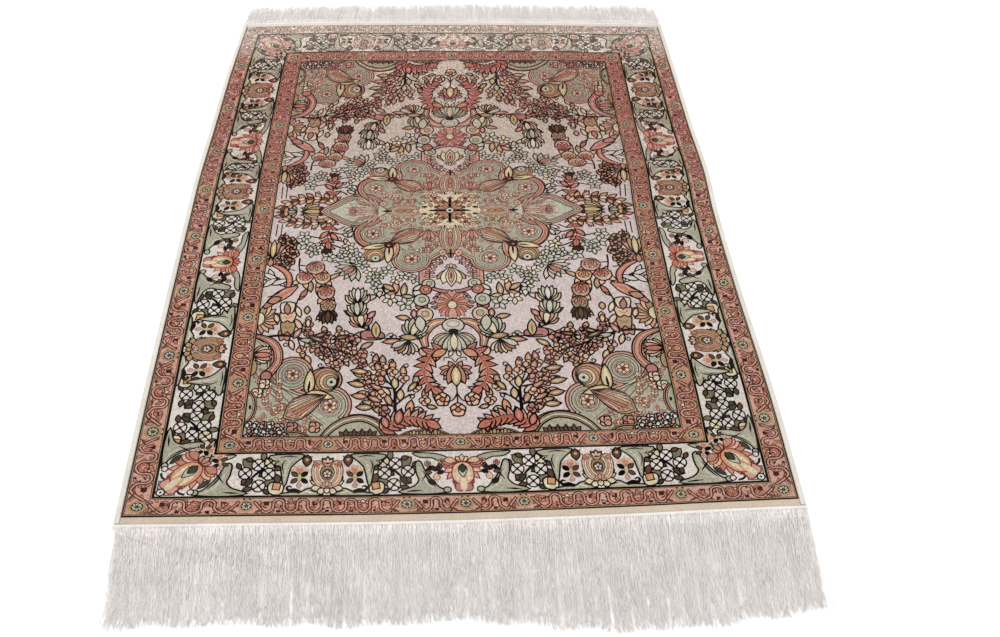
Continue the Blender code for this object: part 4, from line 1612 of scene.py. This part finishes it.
def overcast_section(index, steps):
    """A wrapped cord: each turn of yarn stands proud of the groove between it and the next."""
    turn = 2 * math.pi * index / steps
    return round_section(0.90 + 0.10 * math.sin(turn), 0.03 * math.sin(0.37 * index), 10)


def corded_section(index, steps):
    """A row of knots: round beads of yarn side by side."""
    turn = 2 * math.pi * index / steps
    return round_section(0.84 + 0.16 * math.sin(turn), 0.06 * math.sin(turn + 1.5), 8)


def ribbed_section(index, steps):
    """A flat weave with fine ribs, as wefts pass over and under the warps."""
    across = np.linspace(-1, 1, 9)
    top = [0.8 + 0.2 * math.sin(math.pi * (index + k)) + 0.12 * ((index + k) % 2) for k in range(len(across))]
    return [(-1, 0.1), (1, 0.1)] + list(zip(across[::-1], top[::-1]))


# ---------------------------------------------------------------- fringes

# The teeth of the CAD comb, and the sides of each strand.
TEETH = 62
SIDES = 3
# How high the lowest strands lie, how high the top ones may come, and how far under that their
# middles stay. These lengths and those below are in metres.
FRINGE_FLOOR = 0.0008
FRINGE_TOP = 0.0030
TOP_CLEARANCE = 0.0014
# How far in from the heading's edges the strands have their roots.
ROOT_INSET = 0.001
# A reach that is read too short, beside a tooth, is held to this share of the median one.
LEAST_REACH = 0.88
# The mean width of a lock, and how far towards its middle a strand is drawn, as a share.
LOCK_WIDTH = 0.007
LOCK_DRAW = 0.30
# How far in from the comb's corners the outermost tips lie, at the front and at the back.
TIP_INSETS = {-1: (0.019, 0.013), 1: (0.007, 0.005)}
# The radius of a low strand, and how much less a top one has.
STRAND_RADIUS = 0.00062
STRAND_THINNING = 0.00018
# How far the tips stray along X, how far a strand sways on its way there, and how much it crinkles
# sideways and in height.
TIP_STRAY = 0.0036
SWAY = 0.0011
CRINKLE = 0.0016
LIFT_CRINKLE = 0.00048
# Up to here from the heading, where the strands lie tight, they are painted lighter, and from there on that
# painted light fades over this length.
PAINTED_LIGHT_ROOT = 0.004
PAINTED_LIGHT_FADE = 0.008
# The share of the strands that are worn short.
WORN_SHARE = 0.07


def comb_tips(name, end):
    """The places along X of the comb's teeth, and how far along Y each one reaches."""
    corners = cad_points(name)
    edges = np.linspace(corners[:, 0].min(), corners[:, 0].max(), TEETH + 1)
    tips = []
    for low, high in zip(edges, edges[1:]):
        inside = corners[(corners[:, 0] >= low) & (corners[:, 0] <= high), 1]
        tips.append(inside.max() if end > 0 else inside.min())
    return (edges[1:] + edges[:-1]) / 2, np.array(tips)


def lock_pull(random, x):
    """How far each strand would move along X to reach the middle of the lock that it falls into."""
    widths = random.uniform(0.5 * LOCK_WIDTH, 1.5 * LOCK_WIDTH, 2 * int((x.max() - x.min()) / LOCK_WIDTH))
    edges = x.min() - LOCK_WIDTH + np.cumsum(widths)
    number = np.searchsorted(edges, x)
    return (edges[number] + edges[number - 1]) / 2 - x


def strand_mesh(name, x, y, height, radius, angle, tones, flipped):
    """Three-sided strands along the given rows of points, each with its tones from root to tip."""
    count, rings = x.shape
    around = angle + 2 * math.pi * np.arange(SIDES) / SIDES
    points = np.stack([
        x[..., None] + radius[..., None] * np.cos(around),
        np.repeat(y[..., None], SIDES, axis=2),
        height[..., None] + radius[..., None] * np.sin(around),
    ], axis=-1)
    first = np.arange(count)[:, None] * rings * SIDES + np.arange(SIDES)
    a = first[:, None, :] + np.arange(rings - 1)[:, None] * SIDES
    b = a - np.arange(SIDES) + (np.arange(SIDES) + 1) % SIDES
    quads = np.stack([a, a + SIDES, b + SIDES, b], axis=-1).reshape(-1, 4)
    caps = np.concatenate([first, (first + (rings - 1) * SIDES)[:, ::-1]])
    if flipped:
        quads, caps = quads[:, ::-1], caps[:, ::-1]
    colours = np.repeat(tones[:, None], 3, axis=1)
    return new_object(name + "_strands", points.reshape(-1, 3), quads.tolist() + caps.tolist(), colours)


def strand_ends(name, heading_name, end, share):
    """Where strands at these shares of the fringe have their roots (x, y), where along X their tips
    are, and how far along Y the comb reaches there."""
    at, low, high = strip_edges(heading_name, 0)
    middles, tips = comb_tips(name, end)
    corner, far_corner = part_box(name)
    insets = TIP_INSETS[end]
    root_x = at[0] + ROOT_INSET + share * (at[-1] - at[0] - 2 * ROOT_INSET)
    root_y = np.interp(root_x, at, high if end > 0 else low) - end * ROOT_INSET
    tip_x = corner.x + insets[0] + share * (far_corner.x - corner.x - sum(insets))
    reach = np.abs(np.interp(tip_x, middles, tips) - root_y)
    return root_x, root_y, tip_x, np.maximum(reach, LEAST_REACH * np.median(reach))


def fringe(name, heading_name, end, count, segments, seed, ragged=0.10, overhang=0.0):
    """Loose crinkled warp ends, from under the heading out to ragged tips, in several layers. The
    longest pass the comb's teeth by overhang, and the others fall short by up to ragged."""
    random = np.random.default_rng(seed)
    share = (np.arange(count) + random.uniform(0, 1, count)) / count
    root_x, root_y, tip_x, reach = strand_ends(name, heading_name, end, share)
    short = ragged * random.uniform(0, 1, count) ** 1.6
    reach *= 1 + overhang - short - 0.1 * ragged * (1 + np.sin(tip_x * 90))
    reach *= np.where(random.random(count) < WORN_SHARE, random.uniform(0.6, 0.95, count), 1)
    t = np.linspace(0, 1, segments + 1)
    x = root_x[:, None] + (tip_x - root_x)[:, None] * t
    x = x + lock_pull(random, root_x)[:, None] * LOCK_DRAW * smoothstep(t / 0.7)
    x = x + random.normal(0, TIP_STRAY, (count, 1)) * t**1.6
    bend = random.uniform(0, 2 * math.pi, (count, 1)) + t * random.uniform(4, 11, (count, 1))
    x = x + SWAY * np.sin(bend) * t + random.normal(0, CRINKLE, (count, segments + 1)) * np.sqrt(t)
    y = root_y[:, None] + end * reach[:, None] * t
    layer = random.random((count, 1))
    radius = STRAND_RADIUS - STRAND_THINNING * layer
    radius = radius * random.uniform(0.8, 1.15, (count, 1)) * (1 - 0.3 * t)
    arch = np.sin(math.pi * (0.12 + 0.8 * t)) ** 0.6
    height = FRINGE_FLOOR + (FRINGE_TOP - TOP_CLEARANCE) * layer * arch
    height = np.maximum(height + random.normal(0, LIFT_CRINKLE, height.shape), radius)
    angle = random.uniform(0, 6, (count, 1, 1))
    # The lower strands are painted darker: painted shade from the strands that lie over them.
    tone = random.uniform(0.92, 1.10, count) - 0.09 * (1 - layer[:, 0])
    # Where the strands lie tight by the heading they are painted lighter: a painted highlight, as no shade
    # falls between them there.
    root_painted_light = 1 + 0.10 * (1 - smoothstep((reach[:, None] * t[:-1] - PAINTED_LIGHT_ROOT) / PAINTED_LIGHT_FADE))
    tones = np.concatenate([np.repeat((tone[:, None] * root_painted_light).ravel(), SIDES), tone, tone])
    return strand_mesh(name, x, y, height, radius, angle, tones, end < 0)


# ---------------------------------------------------------------- materials

SPECULAR = 0.06
# Each yarn's two sRGB tones.
CORD_TONES = ((236, 230, 220), (214, 206, 194))
BAND_TONES = ((214, 199, 181), (190, 173, 152))
FADED_BAND_TONES = ((226, 218, 210), (206, 196, 188))
HEADING_TONES = ((248, 244, 240), (228, 222, 216))
WARP_TONES = ((255, 251, 248), (248, 239, 235))


def new_material(name, roughness):
    """A matt material, with its node tree and its shader."""
    material = bpy.data.materials.new(name)
    material.use_nodes = True
    shader = material.node_tree.nodes["Principled BSDF"]
    shader.inputs["Roughness"].default_value = roughness
    shader.inputs["Specular IOR Level"].default_value = SPECULAR
    return material, material.node_tree, shader


def node(tree, kind, inputs, **settings):
    """A node with its settings, and its inputs set to values or linked to other nodes' outputs."""
    made = tree.nodes.new("ShaderNode" + kind)
    for key, value in settings.items():
        setattr(made, key, value)
    for key, value in inputs.items():
        if isinstance(value, bpy.types.NodeSocket):
            tree.links.new(value, made.inputs[key])
        else:
            made.inputs[key].default_value = value
    return made


def rug_coordinates(tree):
    return tree.nodes.new("ShaderNodeTexCoord").outputs["Object"]


def noise(tree, scale, stretch=(1, 1, 1), detail=2.0):
    """Noise in the rug's own metres, drawn out along an axis by a small stretch value there."""
    mapping = node(tree, "Mapping", {"Vector": rug_coordinates(tree), "Scale": stretch})
    inputs = {"Vector": mapping.outputs["Vector"], "Scale": scale, "Detail": detail}
    return node(tree, "TexNoise", inputs).outputs["Fac"]


def spread(tree, value, first, last, low, high):
    """The value, spread from first and last over low to high."""
    inputs = {"Value": value, "From Min": first, "From Max": last, "To Min": low, "To Max": high}
    return node(tree, "MapRange", inputs).outputs["Result"]


def uneven(tree, low, high, *noise_settings):
    """Noise between low and high."""
    return spread(tree, noise(tree, *noise_settings), 0.3, 0.7, low, high)


def maths(tree, operation, a, b):
    return node(tree, "Math", {0: a, 1: b}, operation=operation).outputs["Value"]


def shaded(tree, colour, value):
    """The colour made lighter or darker by a value round 1."""
    return node(tree, "VectorMath", {0: colour, "Scale": value}, operation="SCALE").outputs["Vector"]


def tinted(tree, colour, share, tint):
    return node(tree, "Mix", {"Factor": share, 6: colour, 7: tint}, data_type="RGBA").outputs[2]


# Each face's colour: the pile's dyes with the back half's painted nap shade, or the fringe strands' tones
# with their painted shade and painted highlight.
def dyed(tree):
    return node(tree, "VertexColor", {}, layer_name="dye").outputs["Color"]


def bump(tree, shader, height, strength, distance):
    made = node(tree, "Bump", {"Height": height, "Strength": strength, "Distance": distance})
    tree.links.new(made.outputs["Normal"], shader.inputs["Normal"])


def pile_material():
    """Silk knots: the dyes with small differences from knot to knot, abrash and worn patches."""
    material, tree, shader = new_material("silk_pile", 0.72)
    knots = uneven(tree, 0.76, 1.20, 760, (1, 1, 1), 1.0)
    tufts = uneven(tree, 0.80, 1.16, 260, (1, 1, 1), 1.0)
    patches = uneven(tree, 0.90, 1.08, 16, (0.55, 1.6, 1.0), 4.0)
    unevenness = maths(tree, "MULTIPLY", maths(tree, "MULTIPLY", knots, tufts), patches)
    wear = uneven(tree, -0.02, 0.05, 9, (0.5, 1.4, 1.0), 4.0)
    colour = tinted(tree, shaded(tree, dyed(tree), unevenness), wear, (0.46, 0.36, 0.30, 1))
    # Towards the back end the pile is speckled lighter and darker, more the further back it lies.
    along = node(tree, "SeparateXYZ", {0: rug_coordinates(tree)}).outputs["Y"]
    back_speckling = spread(tree, along, 0.0, 0.55, 0.0, 1.0)
    specks = uneven(tree, -0.55, 0.75, 330, (1.0, 0.6, 1.0))
    lifted = maths(tree, "ADD", maths(tree, "MULTIPLY", back_speckling, specks), 1.0)
    tree.links.new(shaded(tree, colour, lifted), shader.inputs["Base Color"])
    height = maths(tree, "ADD", noise(tree, 900), noise(tree, 130, (1.0, 0.5, 1.0)))
    bump(tree, shader, height, 0.35, 0.0006)
    return material


def yarn_material(name, tones, stretch, scale, roughness=0.8, own_tones_and_painted_light=False):
    """Plain yarn: two sRGB tones that run along its strands, with their fine relief. With tones of
    their own, the strands also differ from each other, and carry the painted shade and painted
    highlight set on them."""
    material, tree, shader = new_material(name, roughness)
    fibres = noise(tree, scale, stretch)
    share = spread(tree, fibres, 0.3, 0.7, 0.0, 1.0)
    light, dark = ((*linear(tone), 1) for tone in tones)
    colours = tinted(tree, light, share, dark)
    value = uneven(tree, 0.94, 1.05, 22)
    if own_tones_and_painted_light:
        value = maths(tree, "MULTIPLY", value, dyed(tree))
    tree.links.new(shaded(tree, colours, value), shader.inputs["Base Color"])
    bump(tree, shader, fibres, 0.4, 0.0003)
    return material


def floor_material():
    material, tree, shader = new_material("studio_floor", 0.9)
    colour = shaded(tree, (0.98, 0.98, 0.98), uneven(tree, 0.995, 1.0, 40))
    tree.links.new(colour, shader.inputs["Base Color"])
    return material


# ---------------------------------------------------------------- camera, floor and lights

# The camera stands at the front end, above the floor, and looks down the rug.
CAMERA_FROM_PILE_MIDDLE = (-0.0179, -1.2222, 1.112)
CAMERA_TURN_DEGREES = (40.82, -1.78, -2.69)
CAMERA_LENS_MM = 32.26
SENSOR_WIDTH_MM = 36.0
FLOOR_HALF = 8.0
FLOOR_HEIGHT = -0.0005
WORLD_STRENGTH = 0.68


def add_camera():
    """The picture's camera, placed from the middle of the pile."""
    data = bpy.data.cameras.new("camera")
    data.lens = CAMERA_LENS_MM
    data.sensor_width = SENSOR_WIDTH_MM
    camera = bpy.data.objects.new("camera", data)
    camera.location = Vector((*PILE_MIDDLE, 0)) + Vector(CAMERA_FROM_PILE_MIDDLE)
    camera.rotation_euler = [math.radians(turn) for turn in CAMERA_TURN_DEGREES]
    bpy.context.scene.collection.objects.link(camera)
    bpy.context.scene.camera = camera


def add_floor():
    """A pale floor just under the rug."""
    corners = [(x, y, FLOOR_HEIGHT) for x, y in block(-FLOOR_HALF, -FLOOR_HALF, FLOOR_HALF, FLOOR_HALF)]
    floor = new_object("floor", corners, [(0, 1, 2, 3)])
    floor.data.materials.append(floor_material())


def add_area_light(name, location, size, power):
    """A square light that faces the middle of the rug."""
    data = bpy.data.lights.new(name, "AREA")
    data.size = size
    data.energy = power
    lamp = bpy.data.objects.new(name, data)
    lamp.location = location
    lamp.rotation_euler = (-Vector(location)).to_track_quat("-Z", "Y").to_euler()
    bpy.context.scene.collection.objects.link(lamp)


def add_light():
    """An even white surround, and two large soft lamps."""
    world = bpy.data.worlds.new("studio")
    world.use_nodes = True
    background = world.node_tree.nodes["Background"]
    background.inputs["Color"].default_value = (1.0, 1.0, 1.0, 1)
    background.inputs["Strength"].default_value = WORLD_STRENGTH
    bpy.context.scene.world = world
    add_area_light("key", (-1.2, 1.8, 3.2), size=2.6, power=68)
    add_area_light("fill", (1.6, -2.2, 3.0), size=3.0, power=30)
    bpy.context.scene.view_settings.view_transform = "Standard"


# ---------------------------------------------------------------- putting it together


def finish_trim(piece, cad_name, material):
    """A cord, band, heading or fringe in place of its CAD solid."""
    piece.data.materials.append(material)
    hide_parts(cad_name)
    return piece


add_camera()
rug_base = foundation()
patches = [knotted_piece(*piece) for piece in design_pieces()]
silk = pile_material()
for piece in [rug_base] + patches:
    piece.data.materials.append(silk)
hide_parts("pile")

cord_yarn = yarn_material("side_cord_yarn", CORD_TONES, (1.0, 0.4, 1.0), 700)
band_weave = yarn_material("end_band_weave", BAND_TONES, (0.5, 1.0, 1.0), 900)
faded_weave = yarn_material("end_band_weave_faded", FADED_BAND_TONES, (0.5, 1.0, 1.0), 900)
heading_yarn = yarn_material("heading_cord", HEADING_TONES, (1.0, 0.5, 1.0), 800)
warp_yarn = yarn_material("fringe_warps", WARP_TONES, (1.0, 0.3, 1.0), 420, roughness=0.7, own_tones_and_painted_light=True)
trims = []
for side in ("left", "right"):
    name = "side_cord_" + side
    cord = laid_strip(name, 1, pitch=0.0019, steps=4, section=overcast_section, thickness=0.003)
    trims.append(finish_trim(cord, name, cord_yarn))
for end, weave in (("front", band_weave), ("back", faded_weave)):
    name = "end_band_" + end
    band = laid_strip(
        name, 0, pitch=0.0012, steps=1, section=ribbed_section, thickness=0.0018, overlap=0.0009,
    )
    trims.append(finish_trim(band, name, weave))
    name = "heading_" + end
    cord = laid_strip(name, 0, pitch=0.0026, steps=4, section=corded_section, thickness=0.0022)
    trims.append(finish_trim(cord, name, heading_yarn))
front_fringe = fringe("fringe_front", "heading_front", end=-1, count=1560, segments=20, seed=SEED)
back_fringe = fringe(
    "fringe_back", "heading_back", end=1, count=1500, segments=12, seed=SEED + 1, ragged=0.36, overhang=0.12,
)
trims.append(finish_trim(front_fringe, "fringe_front", warp_yarn))
trims.append(finish_trim(back_fringe, "fringe_back", warp_yarn))

for piece in [rug_base] + patches + trims:
    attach(piece, BODY)

add_floor()
add_light()
